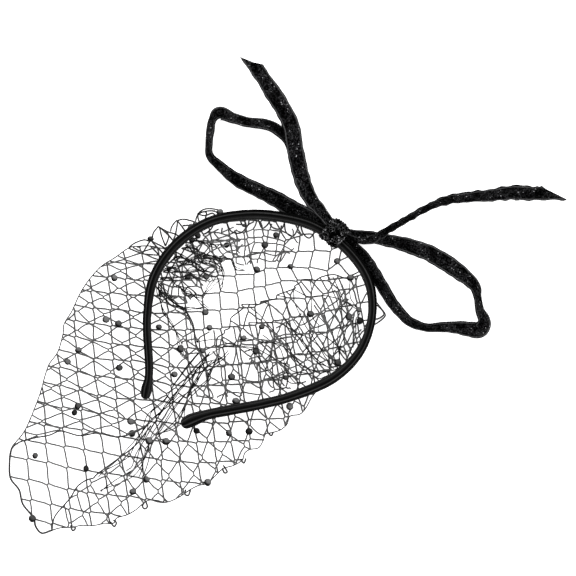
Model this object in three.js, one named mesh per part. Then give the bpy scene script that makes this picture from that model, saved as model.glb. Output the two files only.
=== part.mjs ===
// A veiled headband, lying flat as it is laid on a table: a thin satin wrapped band bent to a
// horseshoe, a birdcage veil of open net gathered on its two arms, and a ribbon bow tied on it.
// Millimetres, +Z up, resting on z = 0, with the origin under the middle of the whole outline.
import * as THREE from "three";
import * as BufferGeometryUtils from "three/addons/utils/BufferGeometryUtils.js";

// Band: a padded wire, wrapped in satin
const bandSpan = 130.5; // between the arms' centre lines at the widest
const bandDepth = 122; // from the crown's centre line to the lower tip
const bandRadius = 2.7;

// Bow: one ribbon width, with how far each strand reaches from the knot
const ribbonWidth = 10;
const ribbonThickness = 1;
const knotRadius = 7.5;
const knotLength = 15;
const knotBulge = 3; // how far the knot's middle lies outside the band's centre line
const knotPlace = 0.502; // share of the band's length, from its left tip
const leftLoopReach = 86;
const leftTailReach = 112;
const rightLoopReach = 98;
const rightTailReach = 134;

// Veil: one piece of net, folded over on both sides
const veilDrop = 240; // from the crown to the lowest corner
const veilPuff = 13; // how far the folded-over net stands up beyond the band
const netThickness = 1;
const netBar = 2.8; // width of the net between two gaps
const gapsAcross = 17; // one between each two rows of the veil's table
const gapsDown = 7;

// Clearances
const seatGap = 0.3; // between pieces that touch on the real thing
const seatMargin = 1; // how far above and below a ribbon's end its seat on the knot is looked for
const bandMargin = 12; // the net stays low this far each side of the band

// Colours
const satin = new THREE.MeshStandardMaterial({ color: 0x101012, roughness: 0.45, metalness: 0 });
const glitterRibbon = new THREE.MeshStandardMaterial({ color: 0x17171a, roughness: 0.6, metalness: 0.1 });
const net = new THREE.MeshStandardMaterial({ color: 0x2a2a2d, roughness: 0.8, metalness: 0 });

// Band sections from the left tip round to the lower tip. x is a share of bandSpan and y of
// bandDepth from the middle of the horseshoe, and girth a share of bandRadius.
const bandTable = [
  { x: -0.517, y: -0.374, girth: 0.98 },
  { x: -0.512, y: -0.345, girth: 1.12 },
  { x: -0.504, y: -0.300, girth: 0.84 },
  { x: -0.501, y: -0.247, girth: 0.85 },
  { x: -0.51, y: 0, girth: 0.87 },
  { x: -0.479, y: 0.185, girth: 1 },
  { x: -0.38, y: 0.341, girth: 1.03 },
  { x: -0.236, y: 0.445, girth: 1.04 },
  { x: -0.079, y: 0.48, girth: 1.04 },
  { x: 0.084, y: 0.471, girth: 1.04 },
  { x: 0.244, y: 0.421, girth: 1.04 },
  { x: 0.391, y: 0.302, girth: 1 },
  { x: 0.476, y: 0.157, girth: 0.97 },
  { x: 0.487, y: -0.01, girth: 0.87 },
  { x: 0.434, y: -0.169, girth: 0.95 },
  { x: 0.32, y: -0.292, girth: 1.02 },
  { x: 0.13, y: -0.382, girth: 1 },
  { x: 0, y: -0.418, girth: 1 },
  { x: -0.153, y: -0.449, girth: 1.05 },
  { x: -0.244, y: -0.469, girth: 1.05 },
  { x: -0.309, y: -0.493, girth: 1.27 },
  { x: -0.334, y: -0.507, girth: 1.15 },
];
const largestGirth = Math.max(...bandTable.map((row) => row.girth));
const crownGirth = 1.04; // of the band's upper half, where the knot and the veil sit

// The band lies as high as the knot under it holds it
const bandHeight = knotRadius;

// Ribbon sections, in order along the ribbon. out is a share of the strand's reach beyond the
// knot, heading the direction from the knot in degrees, turn the ribbon's lean from flat in
// degrees, width a share of ribbonWidth, and lift the height of its lower edge above the table,
// as a share of ribbonWidth.
const leftLoopTable = [
  { out: 0.000, heading: 146.6, turn: -27, width: 0.60, lift: 0.08 },
  { out: 0.086, heading: 147.3, turn: -25, width: 0.85, lift: 0.06 },
  { out: 0.234, heading: 150.6, turn: -23, width: 1.00, lift: 0.03 },
  { out: 0.370, heading: 151.3, turn: -23, width: 1.00, lift: 0.00 },
  { out: 0.485, heading: 151.2, turn: -23, width: 1.00, lift: 0.00 },
  { out: 0.624, heading: 151.2, turn: -27, width: 1.00, lift: 0.00 },
  { out: 0.769, heading: 150.4, turn: -37, width: 1.00, lift: 0.00 },
  { out: 0.860, heading: 148.6, turn: -56, width: 1.00, lift: 0.00 },
  { out: 0.931, heading: 144.6, turn: -66, width: 1.00, lift: 0.00 },
  { out: 0.972, heading: 140.7, turn: -67, width: 1.00, lift: 0.00 },
  { out: 1.002, heading: 137.0, turn: -66, width: 1.00, lift: 0.00 },
  { out: 1.001, heading: 133.7, turn: -58, width: 1.00, lift: 0.00 },
  { out: 0.933, heading: 131.6, turn: -52, width: 1.00, lift: 0.00 },
  { out: 0.844, heading: 128.3, turn: -49, width: 1.00, lift: 0.00 },
  { out: 0.751, heading: 123.0, turn: -45, width: 1.00, lift: 0.00 },
  { out: 0.686, heading: 119.7, turn: -40, width: 1.00, lift: 0.00 },
  { out: 0.588, heading: 117.8, turn: -23, width: 1.00, lift: 0.00 },
  { out: 0.449, heading: 119.1, turn: -23, width: 1.00, lift: 0.06 },
  { out: 0.290, heading: 121.9, turn: -29, width: 0.95, lift: 0.22 },
  { out: 0.132, heading: 125.4, turn: -32, width: 0.80, lift: 0.38 },
  { out: 0.000, heading: 123.9, turn: -31, width: 0.55, lift: 0.52 },
];
const leftTailTable = [
  { out: 0.000, heading: 119.3, turn: 24, width: 0.55, lift: 1.08 },
  { out: 0.073, heading: 124.7, turn: 19, width: 0.75, lift: 1.04 },
  { out: 0.130, heading: 126.0, turn: 19, width: 0.85, lift: 0.98 },
  { out: 0.208, heading: 123.6, turn: 10, width: 0.95, lift: 0.86 },
  { out: 0.312, heading: 118.9, turn: 14, width: 1.00, lift: 0.72 },
  { out: 0.414, heading: 115.3, turn: 11, width: 1.00, lift: 0.66 },
  { out: 0.510, heading: 112.5, turn: 14, width: 1.00, lift: 0.72 },
  { out: 0.618, heading: 112.8, turn: 14, width: 1.00, lift: 0.42 },
  { out: 0.727, heading: 114.1, turn: 9, width: 1.00, lift: 0.08 },
  { out: 0.795, heading: 114.9, turn: 0, width: 1.00, lift: 0.00 },
  { out: 0.853, heading: 115.4, turn: 0, width: 1.00, lift: 0.00 },
  { out: 0.911, heading: 115.8, turn: 0, width: 1.00, lift: 0.00 },
];
const rightLoopTable = [
  { out: 0.000, heading: -3.3, turn: -41, width: 0.55, lift: 0.35 },
  { out: 0.038, heading: -4.8, turn: -45, width: 0.65, lift: 0.28 },
  { out: 0.098, heading: -6.8, turn: -39, width: 0.80, lift: 0.16 },
  { out: 0.183, heading: -8.4, turn: -33, width: 0.92, lift: 0.06 },
  { out: 0.262, heading: -9.6, turn: -34, width: 1.00, lift: 0.00 },
  { out: 0.372, heading: -10.7, turn: -31, width: 1.00, lift: 0.00 },
  { out: 0.475, heading: -12.1, turn: -29, width: 1.00, lift: 0.00 },
  { out: 0.556, heading: -14.2, turn: -26, width: 1.00, lift: 0.00 },
  { out: 0.644, heading: -16.4, turn: -26, width: 1.00, lift: 0.00 },
  { out: 0.737, heading: -19.2, turn: -37, width: 1.00, lift: 0.00 },
  { out: 0.797, heading: -21.4, turn: -52, width: 1.00, lift: 0.00 },
  { out: 0.836, heading: -24.7, turn: -62, width: 1.00, lift: 0.00 },
  { out: 0.886, heading: -28.4, turn: -62, width: 1.00, lift: 0.00 },
  { out: 0.945, heading: -30.2, turn: -52, width: 1.00, lift: 0.00 },
  { out: 0.942, heading: -33.0, turn: -34, width: 1.00, lift: 0.00 },
  { out: 0.883, heading: -35.3, turn: -23, width: 1.00, lift: 0.00 },
  { out: 0.822, heading: -37.5, turn: -42, width: 1.00, lift: 0.00 },
  { out: 0.746, heading: -41.2, turn: -56, width: 1.00, lift: 0.00 },
  { out: 0.678, heading: -45.2, turn: -64, width: 1.00, lift: 0.00 },
  { out: 0.603, heading: -48.4, turn: -62, width: 1.00, lift: 0.00 },
  { out: 0.534, heading: -49.5, turn: -58, width: 1.00, lift: 0.00 },
  { out: 0.436, heading: -49.7, turn: -54, width: 1.00, lift: 0.00 },
  { out: 0.349, heading: -47.9, turn: -54, width: 1.00, lift: 0.00 },
  { out: 0.265, heading: -44.1, turn: -51, width: 0.95, lift: 0.00 },
  { out: 0.181, heading: -39.7, turn: -49, width: 0.90, lift: 0.00 },
  { out: 0.101, heading: -35.6, turn: -41, width: 0.75, lift: 0.03 },
  { out: 0.000, heading: -35.8, turn: -36, width: 0.55, lift: 0.08 },
];
const rightTailTable = [
  { out: 0.000, heading: -21.4, turn: 41, width: 0.55, lift: 0.98 },
  { out: 0.032, heading: -20.4, turn: 44, width: 0.60, lift: 0.93 },
  { out: 0.066, heading: -15.6, turn: 46, width: 0.65, lift: 0.90 },
  { out: 0.102, heading: -9.1, turn: 47, width: 0.70, lift: 0.86 },
  { out: 0.139, heading: -1.9, turn: 53, width: 0.78, lift: 0.78 },
  { out: 0.183, heading: 3.9, turn: 52, width: 0.85, lift: 0.56 },
  { out: 0.242, heading: 9.2, turn: 55, width: 0.92, lift: 0.26 },
  { out: 0.313, heading: 13.3, turn: 54, width: 0.95, lift: 0.05 },
  { out: 0.370, heading: 14.8, turn: 49, width: 1.00, lift: 0.00 },
  { out: 0.434, heading: 15.4, turn: 45, width: 1.00, lift: 0.00 },
  { out: 0.499, heading: 14.8, turn: 42, width: 1.00, lift: 0.00 },
  { out: 0.564, heading: 13.9, turn: 42, width: 1.00, lift: 0.00 },
  { out: 0.638, heading: 13.1, turn: 37, width: 1.00, lift: 0.00 },
  { out: 0.715, heading: 12.1, turn: 33, width: 1.00, lift: 0.00 },
  { out: 0.792, heading: 11.3, turn: 27, width: 1.00, lift: 0.00 },
  { out: 0.843, heading: 10.6, turn: 19, width: 1.00, lift: 0.00 },
  { out: 0.897, heading: 10.3, turn: 12, width: 1.00, lift: 0.00 },
];
const tailCut = { left: 1.2, right: -1.4 }; // slant of the cut end, as a share of its half width
const cutLength = 14; // the slant grows over this much of the strand
const loopSteps = 3; // cross sections made from each row of a ribbon's table

// Veil folds from its left gather to its right one, each a line from the band to the hem. at is
// its share of the band's length; x1, y1 and x2, y2 lie a third and two thirds of the way down
// and x3, y3 on the hem, as shares of veilDrop from the middle of the horseshoe; p1 to p3 are the
// same points' heights, as shares of veilPuff above the lowest that the layer lies. layer is 0
// for the net that lies on the table, 1 for what is folded over it and 0.5 on the fold itself.
const veilTable = [
  { at: 0.175, x1: -0.164, y1: -0.029, x2: -0.169, y2: -0.186, x3: -0.312, y3: -0.29, p1: 0, p2: 0, p3: 0, layer: 1 },
  { at: 0.18, x1: -0.239, y1: -0.034, x2: -0.246, y2: -0.172, x3: -0.372, y3: -0.295, p1: 0, p2: 0.1, p3: 0.1, layer: 1 },
  { at: 0.188, x1: -0.309, y1: -0.022, x2: -0.343, y2: -0.167, x3: -0.44, y3: -0.292, p1: 0.1, p2: 0.7, p3: 0.3, layer: 1 },
  { at: 0.202, x1: -0.367, y1: -0.005, x2: -0.423, y2: -0.145, x3: -0.517, y3: -0.3, p1: 0.5, p2: 1, p3: 0.4, layer: 1 },
  { at: 0.223, x1: -0.399, y1: 0.034, x2: -0.478, y2: -0.126, x3: -0.58, y3: -0.319, p1: 0.35, p2: 0.5, p3: 0.2, layer: 1 },
  { at: 0.252, x1: -0.425, y1: 0.089, x2: -0.506, y2: -0.106, x3: -0.613, y3: -0.353, p1: 0, p2: 0, p3: 0, layer: 0.5 },
  { at: 0.281, x1: -0.389, y1: 0.046, x2: -0.474, y2: -0.15, x3: -0.609, y3: -0.384, p1: 0, p2: 0, p3: 0, layer: 0 },
  { at: 0.331, x1: -0.3, y1: -0.005, x2: -0.42, y2: -0.208, x3: -0.599, y3: -0.413, p1: 0, p2: 0, p3: 0, layer: 0 },
  { at: 0.383, x1: -0.198, y1: -0.029, x2: -0.355, y2: -0.261, x3: -0.587, y3: -0.442, p1: 0, p2: 0, p3: 0, layer: 0 },
  { at: 0.431, x1: -0.097, y1: -0.058, x2: -0.29, y2: -0.304, x3: -0.573, y3: -0.469, p1: 0, p2: 0, p3: 0, layer: 0 },
  { at: 0.479, x1: 0, y1: -0.097, x2: -0.227, y2: -0.343, x3: -0.558, y3: -0.491, p1: 0, p2: 0, p3: 0, layer: 0 },
  { at: 0.545, x1: 0.082, y1: -0.135, x2: -0.174, y2: -0.377, x3: -0.544, y3: -0.51, p1: 0, p2: 0, p3: 0, layer: 0 },
  { at: 0.593, x1: 0.130, y1: -0.169, x2: -0.150, y2: -0.391, x3: -0.529, y3: -0.52, p1: 0, p2: 0, p3: 0, layer: 0 },
  { at: 0.628, x1: 0.114, y1: -0.208, x2: -0.174, y2: -0.416, x3: -0.515, y3: -0.523, p1: 0, p2: 0, p3: 0, layer: 0.5 },
  { at: 0.655, x1: 0.097, y1: -0.198, x2: -0.188, y2: -0.382, x3: -0.495, y3: -0.478, p1: 0, p2: 0.4, p3: 0.2, layer: 1 },
  { at: 0.68, x1: 0.068, y1: -0.164, x2: -0.184, y2: -0.338, x3: -0.445, y3: -0.418, p1: 0, p2: 0.8, p3: 0.35, layer: 1 },
  { at: 0.702, x1: 0.029, y1: -0.126, x2: -0.169, y2: -0.29, x3: -0.377, y3: -0.362, p1: 0, p2: 0.5, p3: 0.3, layer: 1 },
  { at: 0.719, x1: -0.039, y1: -0.087, x2: -0.135, y2: -0.208, x3: -0.273, y3: -0.275, p1: 0, p2: 0, p3: 0, layer: 1 },
];
const settleShare = 0.12; // the net comes down from the band to its layer over this share of its length

// The band's centre line
const bandCurve = new THREE.CatmullRomCurve3(
  bandTable.map((row) => new THREE.Vector3(row.x * bandSpan, row.y * bandDepth, bandHeight)),
  false,
  "centripetal",
);
bandCurve.arcLengthDivisions = 600;
const bandLength = bandCurve.getLength();
const bandPoints = bandCurve.getSpacedPoints(240);
const up = new THREE.Vector3(0, 0, 1);

// The value of a smooth curve through evenly spaced rows, at place in rows
function alongRows(values, place) {
  const last = values.length - 1;
  const step = Math.min(Math.max(Math.floor(place), 0), last - 1);
  const share = place - step;
  const here = values[step];
  const next = values[step + 1];
  const before = step > 0 ? values[step - 1] : 2 * here - next;
  const after = step + 2 <= last ? values[step + 2] : 2 * next - here;
  const slopeHere = (next - before) / 2;
  const slopeNext = (after - here) / 2;
  const square = share * share;
  const cube = square * share;
  return (2 * cube - 3 * square + 1) * here + (cube - 2 * square + share) * slopeHere
    + (3 * square - 2 * cube) * next + (cube - square) * slopeNext;
}

// A closed body from triangles given as three points each, with its faces pointing out
function closedBody(triangles) {
  const flat = triangles.flat();
  const volume = triangles.reduce((sum, [a, b, c]) => sum + a.dot(b.clone().cross(c)), 0);
  if (volume < 0) {
    for (let corner = 0; corner < flat.length; corner += 3) {
      [flat[corner + 1], flat[corner + 2]] = [flat[corner + 2], flat[corner + 1]];
    }
  }
  const geometry = new THREE.BufferGeometry().setFromPoints(flat);
  const merged = BufferGeometryUtils.mergeVertices(geometry, 1e-5);
  merged.computeVertexNormals();
  return merged;
}

// Two triangles for each side between one ring of points and the next
function ringSides(first, second) {
  return first.flatMap((point, side) => {
    const beside = (side + 1) % first.length;
    return [
      [point, first[beside], second[beside]],
      [point, second[beside], second[side]],
    ];
  });
}

// A fan that closes a ring at its middle
function ringCap(ring, facesBack) {
  const middle = ring.reduce((sum, point) => sum.add(point), new THREE.Vector3()).divideScalar(ring.length);
  return ring.map((point, side) => {
    const beside = ring[(side + 1) % ring.length];
    return facesBack ? [middle, beside, point] : [middle, point, beside];
  });
}

// A body through rings of points, closed at both ends
function loft(rings) {
  const sides = rings.slice(1).flatMap((ring, index) => ringSides(rings[index], ring));
  return closedBody([...sides, ...ringCap(rings[0], true), ...ringCap(rings.at(-1), false)]);
}

// The band's radius at a share of its table
function bandGirth(place) {
  return bandRadius * alongRows(bandTable.map((row) => row.girth), place);
}

// A ring of the band, across its centre line at a share of the curve's own parameter
function bandRing(share, radius, push) {
  const sides = 12;
  const tangent = bandCurve.getTangent(share);
  const across = new THREE.Vector3().crossVectors(up, tangent).normalize();
  const centre = bandCurve.getPoint(share).addScaledVector(tangent, push);
  return Array.from({ length: sides }, (_, side) => {
    const angle = (2 * Math.PI * side) / sides;
    return centre.clone()
      .addScaledVector(across, radius * Math.cos(angle))
      .addScaledVector(up, radius * Math.sin(angle));
  });
}

// The wrapped band with its two rounded tips
function headbandGeometry() {
  const stepsPerRow = 3;
  const tipAngles = [75, 50, 25];
  const steps = (bandTable.length - 1) * stepsPerRow;
  const startRadius = bandGirth(0);
  const endRadius = bandGirth(bandTable.length - 1);
  const startTip = tipAngles.map((degrees) => {
    const angle = THREE.MathUtils.degToRad(degrees);
    return bandRing(0, startRadius * Math.cos(angle), -startRadius * Math.sin(angle));
  });
  const middle = Array.from({ length: steps + 1 }, (_, step) => {
    const share = step / steps;
    return bandRing(share, bandGirth(share * (bandTable.length - 1)), 0);
  });
  const endTip = [...tipAngles].reverse().map((degrees) => {
    const angle = THREE.MathUtils.degToRad(degrees);
    return bandRing(1, endRadius * Math.cos(angle), endRadius * Math.sin(angle));
  });
  return loft([...startTip, ...middle, ...endTip]);
}

// The knot's frame: where it sits on the band and which way is outward from the horseshoe
const knotSeat = bandCurve.getPointAt(knotPlace);
const knotOutward = new THREE.Vector3().crossVectors(up, bandCurve.getTangentAt(knotPlace)).normalize();
const knotCentre = knotSeat.clone().addScaledVector(knotOutward, knotBulge);

// The knot: a barrel tied round the band, following its bend, with a bore that clears it
function bowKnotGeometry() {
  const around = 20;
  const boreRadius = bandRadius * crownGirth + seatGap;
  // along is a share of half the knot's length, and out goes from the bore to the knot's radius
  const profile = [
    { along: -1, out: 0 },
    { along: -1, out: 0.45 },
    { along: -0.85, out: 0.75 },
    { along: -0.5, out: 0.97 },
    { along: -0.15, out: 0.93 },
    { along: 0.15, out: 1 },
    { along: 0.55, out: 0.95 },
    { along: 0.87, out: 0.72 },
    { along: 1, out: 0.4 },
    { along: 1, out: 0 },
    { along: 0.33, out: 0 },
    { along: -0.33, out: 0 },
  ];
  const seats = profile.map(({ along }) => {
    const place = knotPlace + (along * knotLength) / 2 / bandLength;
    const tangent = bandCurve.getTangentAt(place);
    return {
      centre: bandCurve.getPointAt(place),
      outward: new THREE.Vector3().crossVectors(up, tangent).normalize(),
    };
  });
  const rings = Array.from({ length: around }, (_, side) => {
    const angle = (2 * Math.PI * side) / around;
    return profile.map(({ out }, index) => {
      const radius = boreRadius / Math.cos(Math.PI / around) + out * (knotRadius - boreRadius);
      return seats[index].centre.clone()
        .addScaledVector(seats[index].outward, radius * Math.cos(angle) + out * knotBulge)
        .addScaledVector(up, Math.max(radius * Math.sin(angle), -bandHeight));
    });
  });
  return closedBody(rings.flatMap((ring, side) => ringSides(ring, rings[(side + 1) % around])));
}

// How far from the knot's middle a ribbon's end seats on it, in one direction and height range
const knotGeometry = bowKnotGeometry();
function knotSeatDistance(row) {
  const angle = THREE.MathUtils.degToRad(row.heading);
  const toward = new THREE.Vector3(Math.cos(angle), Math.sin(angle), 0);
  const beside = new THREE.Vector3(-toward.y, toward.x, 0);
  const halfWidth = (ribbonWidth * row.width) / 2;
  const low = ribbonWidth * row.lift;
  const high = low + 2 * halfWidth * Math.sin(THREE.MathUtils.degToRad(Math.abs(row.turn))) + ribbonThickness;
  const position = knotGeometry.getAttribute("position");
  let farthest = 0;
  for (let index = 0; index < position.count; index += 1) {
    const from = new THREE.Vector3().fromBufferAttribute(position, index).sub(knotCentre);
    const height = from.z + knotCentre.z;
    const near = Math.abs(from.dot(beside)) < halfWidth && height > low - seatMargin && height < high + seatMargin;
    if (near) farthest = Math.max(farthest, from.dot(toward));
  }
  return farthest + seatGap;
}

// A flat ribbon through a table's rows, with its end cut on the slant where cut is given
function ribbonGeometry(table, reach, cut = 0) {
  const last = table.length - 1;
  const steps = last * loopSteps;
  const firstSeat = knotSeatDistance(table[0]);
  const lastSeat = table[last].out > 0 ? firstSeat : knotSeatDistance(table[last]);
  const plan = table.map(({ out, heading }, index) => {
    const angle = THREE.MathUtils.degToRad(heading);
    const distance = THREE.MathUtils.lerp(firstSeat, lastSeat, index / last) + out * reach;
    return new THREE.Vector2(
      knotCentre.x + distance * Math.cos(angle),
      knotCentre.y + distance * Math.sin(angle),
    );
  });
  const column = (name, place) => alongRows(table.map((row) => row[name]), place);
  const centreAt = (place) => {
    const lean = THREE.MathUtils.degToRad(Math.abs(column("turn", place)));
    const width = ribbonWidth * column("width", place);
    const lift = ribbonWidth * Math.max(column("lift", place), 0);
    const rise = (width * Math.sin(lean) + ribbonThickness * Math.cos(lean)) / 2;
    return new THREE.Vector3(
      alongRows(plan.map((point) => point.x), place),
      alongRows(plan.map((point) => point.y), place),
      lift + rise,
    );
  };
  const places = Array.from({ length: steps + 1 }, (_, step) => (last * step) / steps);
  const centres = places.map(centreAt);
  const fromEnd = centres.map((_, index) =>
    centres.slice(index + 1).reduce((sum, point, offset) => sum + point.distanceTo(centres[index + offset]), 0));
  const rings = places.map((place, index) => {
    const tangent = centres[Math.min(index + 1, steps)].clone().sub(centres[Math.max(index - 1, 0)]).normalize();
    const flat = new THREE.Vector3().crossVectors(up, tangent).normalize();
    const lean = THREE.MathUtils.degToRad(column("turn", place));
    const wide = flat.clone().applyAxisAngle(tangent, lean);
    const thick = new THREE.Vector3().crossVectors(tangent, wide).normalize();
    const halfWidth = (ribbonWidth * column("width", place)) / 2;
    const slant = cut * halfWidth * Math.max(1 - fromEnd[index] / cutLength, 0) ** 1.5;
    const corners = [[-1, -1], [1, -1], [1, 1], [-1, 1]];
    return corners.map(([across, through]) => {
      const corner = centres[index].clone()
        .addScaledVector(wide, across * halfWidth)
        .addScaledVector(tangent, across * slant)
        .addScaledVector(thick, (through * ribbonThickness) / 2);
      corner.z = Math.max(corner.z, 0);
      return corner;
    });
  });
  return loft(rings);
}

// The height of the net's middle where it hangs on the band, and of its two layers below that
const sewnHeight = bandHeight - bandRadius * crownGirth - seatGap - netThickness / 2;
const foldedHeight = bandHeight - bandRadius * largestGirth - seatGap - netThickness / 2;
const tableHeight = netThickness / 2;

// How far a point in plan lies from the band's centre line
function distanceFromBand(x, y) {
  return Math.min(...bandPoints.map((point) => Math.hypot(point.x - x, point.y - y)));
}

// Where each row of the veil's table starts: under the band, or inside the knot beside it
function veilStart(at) {
  const place = Math.min(Math.max(at, 0), 1);
  const along = (place - knotPlace) * bandLength;
  const past = Math.exp(-((along / knotLength) ** 2));
  const point = bandCurve.getPointAt(place);
  const tangent = bandCurve.getTangentAt(place);
  const inward = new THREE.Vector3().crossVectors(tangent, up).normalize();
  return point.addScaledVector(inward, past * (knotRadius - knotBulge + netThickness + seatGap));
}

// The middle of the net at fold u of the table and share v of the way to the hem
function veilPoint(u, v) {
  const column = (name) => alongRows(veilTable.map((row) => row[name]), u);
  const start = veilStart(column("at"));
  const down = 3 * v;
  const x = alongRows([start.x, column("x1") * veilDrop, column("x2") * veilDrop, column("x3") * veilDrop], down);
  const y = alongRows([start.y, column("y1") * veilDrop, column("y2") * veilDrop, column("y3") * veilDrop], down);
  const layer = Math.min(Math.max(column("layer"), 0), 1);
  const resting = THREE.MathUtils.lerp(tableHeight, foldedHeight, layer);
  const puff = Math.max(alongRows([0, column("p1"), column("p2"), column("p3")], down), 0) * veilPuff * layer;
  const slope = 0.5;
  const room = slope * Math.max(distanceFromBand(x, y) - bandMargin, 0);
  const hanging = (sewnHeight - resting) * Math.max(1 - v / settleShare, 0) ** 2;
  return new THREE.Vector3(x, y, resting + Math.min(puff, room) + hanging);
}

// The net's two faces at (u, v), half its thickness each side of its middle
function netFaces(u, v) {
  const small = 0.02;
  const last = gapsAcross;
  const acrossNet = veilPoint(Math.min(u + small, last), v).sub(veilPoint(Math.max(u - small, 0), v));
  const downNet = veilPoint(u, Math.min(v + small, 1)).sub(veilPoint(u, Math.max(v - small, 0)));
  const normal = new THREE.Vector3().crossVectors(acrossNet, downNet).normalize();
  const middle = veilPoint(u, v);
  return {
    front: middle.clone().addScaledVector(normal, netThickness / 2),
    back: middle.clone().addScaledVector(normal, -netThickness / 2),
  };
}

// How much of a gap's width or length the bar beside it takes, at one point
function barShare(u, v, du, dv) {
  const cell = veilPoint(Math.min(u + du, gapsAcross), Math.min(v + dv, 1))
    .distanceTo(veilPoint(u, v));
  return Math.min(netBar / 2 / cell, 0.3);
}

// The net: for each gap a frame of eight sides round its hole, joined to its neighbours' frames
function veilNetGeometry() {
  const round = [[0, 0], [0.5, 0], [1, 0], [1, 0.5], [1, 1], [0.5, 1], [0, 1], [0, 0.5]];
  const known = new Map();
  const facesAt = (u, v) => {
    const key = `${u.toFixed(6)} ${v.toFixed(6)}`;
    if (!known.has(key)) known.set(key, netFaces(u, v));
    return known.get(key);
  };
  const triangles = [];
  for (let across = 0; across < gapsAcross; across += 1) {
    for (let down = 0; down < gapsDown; down += 1) {
      const outer = round.map(([a, d]) => facesAt(across + a, (down + d) / gapsDown));
      const inner = round.map(([a, d]) => {
        const insetAcross = barShare(across, (down + d) / gapsDown, 1, 0);
        const insetDown = barShare(across + a, down / gapsDown, 0, 1 / gapsDown);
        const u = across + insetAcross + a * (1 - 2 * insetAcross);
        const v = (down + insetDown + d * (1 - 2 * insetDown)) / gapsDown;
        return netFaces(u, v);
      });
      const fronts = (ring) => ring.map((point) => point.front);
      const backs = (ring) => ring.map((point) => point.back);
      triangles.push(...ringSides(fronts(outer), fronts(inner)));
      triangles.push(...ringSides(backs(inner), backs(outer)));
      triangles.push(...ringSides(fronts(inner), backs(inner)));
      outer.forEach((here, side) => {
        const next = outer[(side + 1) % outer.length];
        const [a, d] = round[side];
        const [nextA, nextD] = round[(side + 1) % round.length];
        const onEdge = (across === 0 && a === 0 && nextA === 0)
          || (across === gapsAcross - 1 && a === 1 && nextA === 1)
          || (down === 0 && d === 0 && nextD === 0)
          || (down === gapsDown - 1 && d === 1 && nextD === 1);
        if (onEdge) {
          triangles.push([here.back, next.back, next.front], [here.back, next.front, here.front]);
        }
      });
    }
  }
  return closedBody(triangles);
}

// A named piece of the headband
function piece(name, geometry, material) {
  const mesh = new THREE.Mesh(geometry, material);
  mesh.name = name;
  return mesh;
}

const veiledHeadband = new THREE.Group();
veiledHeadband.add(
  piece("headband", headbandGeometry(), satin),
  piece("bow_knot", knotGeometry, glitterRibbon),
  piece("left_loop", ribbonGeometry(leftLoopTable, leftLoopReach), glitterRibbon),
  piece("left_tail", ribbonGeometry(leftTailTable, leftTailReach, tailCut.left), glitterRibbon),
  piece("right_loop", ribbonGeometry(rightLoopTable, rightLoopReach), glitterRibbon),
  piece("right_tail", ribbonGeometry(rightTailTable, rightTailReach, tailCut.right), glitterRibbon),
  piece("veil_net", veilNetGeometry(), net),
);

// The origin goes under the middle of the outline
const outline = new THREE.Box3().setFromObject(veiledHeadband);
const outlineMiddle = outline.getCenter(new THREE.Vector3());
for (const mesh of veiledHeadband.children) {
  mesh.position.set(-outlineMiddle.x, -outlineMiddle.y, -outline.min.z);
}
veiledHeadband.updateMatrixWorld(true);

export default veiledHeadband;
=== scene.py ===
"""The looks of a mesh veil headband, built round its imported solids: a satin wrapped band, a glitter
ribbon bow and a birdcage veil of knotted thread, lying flat as the photograph shows them."""

import itertools
import math
import random

import bmesh
import bpy
import numpy as np
from mathutils import Matrix, Vector, noise


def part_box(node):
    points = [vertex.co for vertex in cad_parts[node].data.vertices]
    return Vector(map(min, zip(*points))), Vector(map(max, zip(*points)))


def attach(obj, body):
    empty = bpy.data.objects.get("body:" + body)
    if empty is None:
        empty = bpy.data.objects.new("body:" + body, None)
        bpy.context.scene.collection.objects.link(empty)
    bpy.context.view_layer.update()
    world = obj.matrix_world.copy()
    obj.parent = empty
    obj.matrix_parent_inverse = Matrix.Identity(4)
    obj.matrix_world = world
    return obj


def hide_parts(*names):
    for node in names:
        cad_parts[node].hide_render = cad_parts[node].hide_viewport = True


bl_info = {
    "name": "Veiled headband",
    "version": (1, 0, 0),
    "blender": (4, 5, 0),
    "location": "3D View > Sidebar > Headband",
    "description": "Dresses the packed headband with satin, ribbon and net",
    "category": "Object",
}

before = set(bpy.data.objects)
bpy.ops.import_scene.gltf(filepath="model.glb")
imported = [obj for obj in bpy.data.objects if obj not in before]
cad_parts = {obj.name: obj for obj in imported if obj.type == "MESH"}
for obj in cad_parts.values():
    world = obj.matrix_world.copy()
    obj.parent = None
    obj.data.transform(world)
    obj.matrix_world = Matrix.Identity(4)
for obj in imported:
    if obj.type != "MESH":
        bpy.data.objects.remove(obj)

MM = 0.001
UP = Vector((0, 0, 1))

# The band from its left tip round to its lower tip: x is a share of the band's span and y of its
# depth from the middle of the horseshoe, and girth a share of its radius
BAND_ROWS = [
    (-0.517, -0.374, 0.98), (-0.512, -0.345, 1.12), (-0.504, -0.300, 0.84), (-0.501, -0.247, 0.85),
    (-0.51, 0, 0.87), (-0.479, 0.185, 1), (-0.38, 0.341, 1.03), (-0.236, 0.445, 1.04),
    (-0.079, 0.48, 1.04), (0.084, 0.471, 1.04), (0.244, 0.421, 1.04), (0.391, 0.302, 1),
    (0.476, 0.157, 0.97), (0.487, -0.01, 0.87), (0.434, -0.169, 0.95), (0.32, -0.292, 1.02),
    (0.13, -0.382, 1), (0, -0.418, 1), (-0.153, -0.449, 1.05), (-0.244, -0.469, 1.05),
    (-0.309, -0.493, 1.36), (-0.336, -0.507, 1.22),
]

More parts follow.
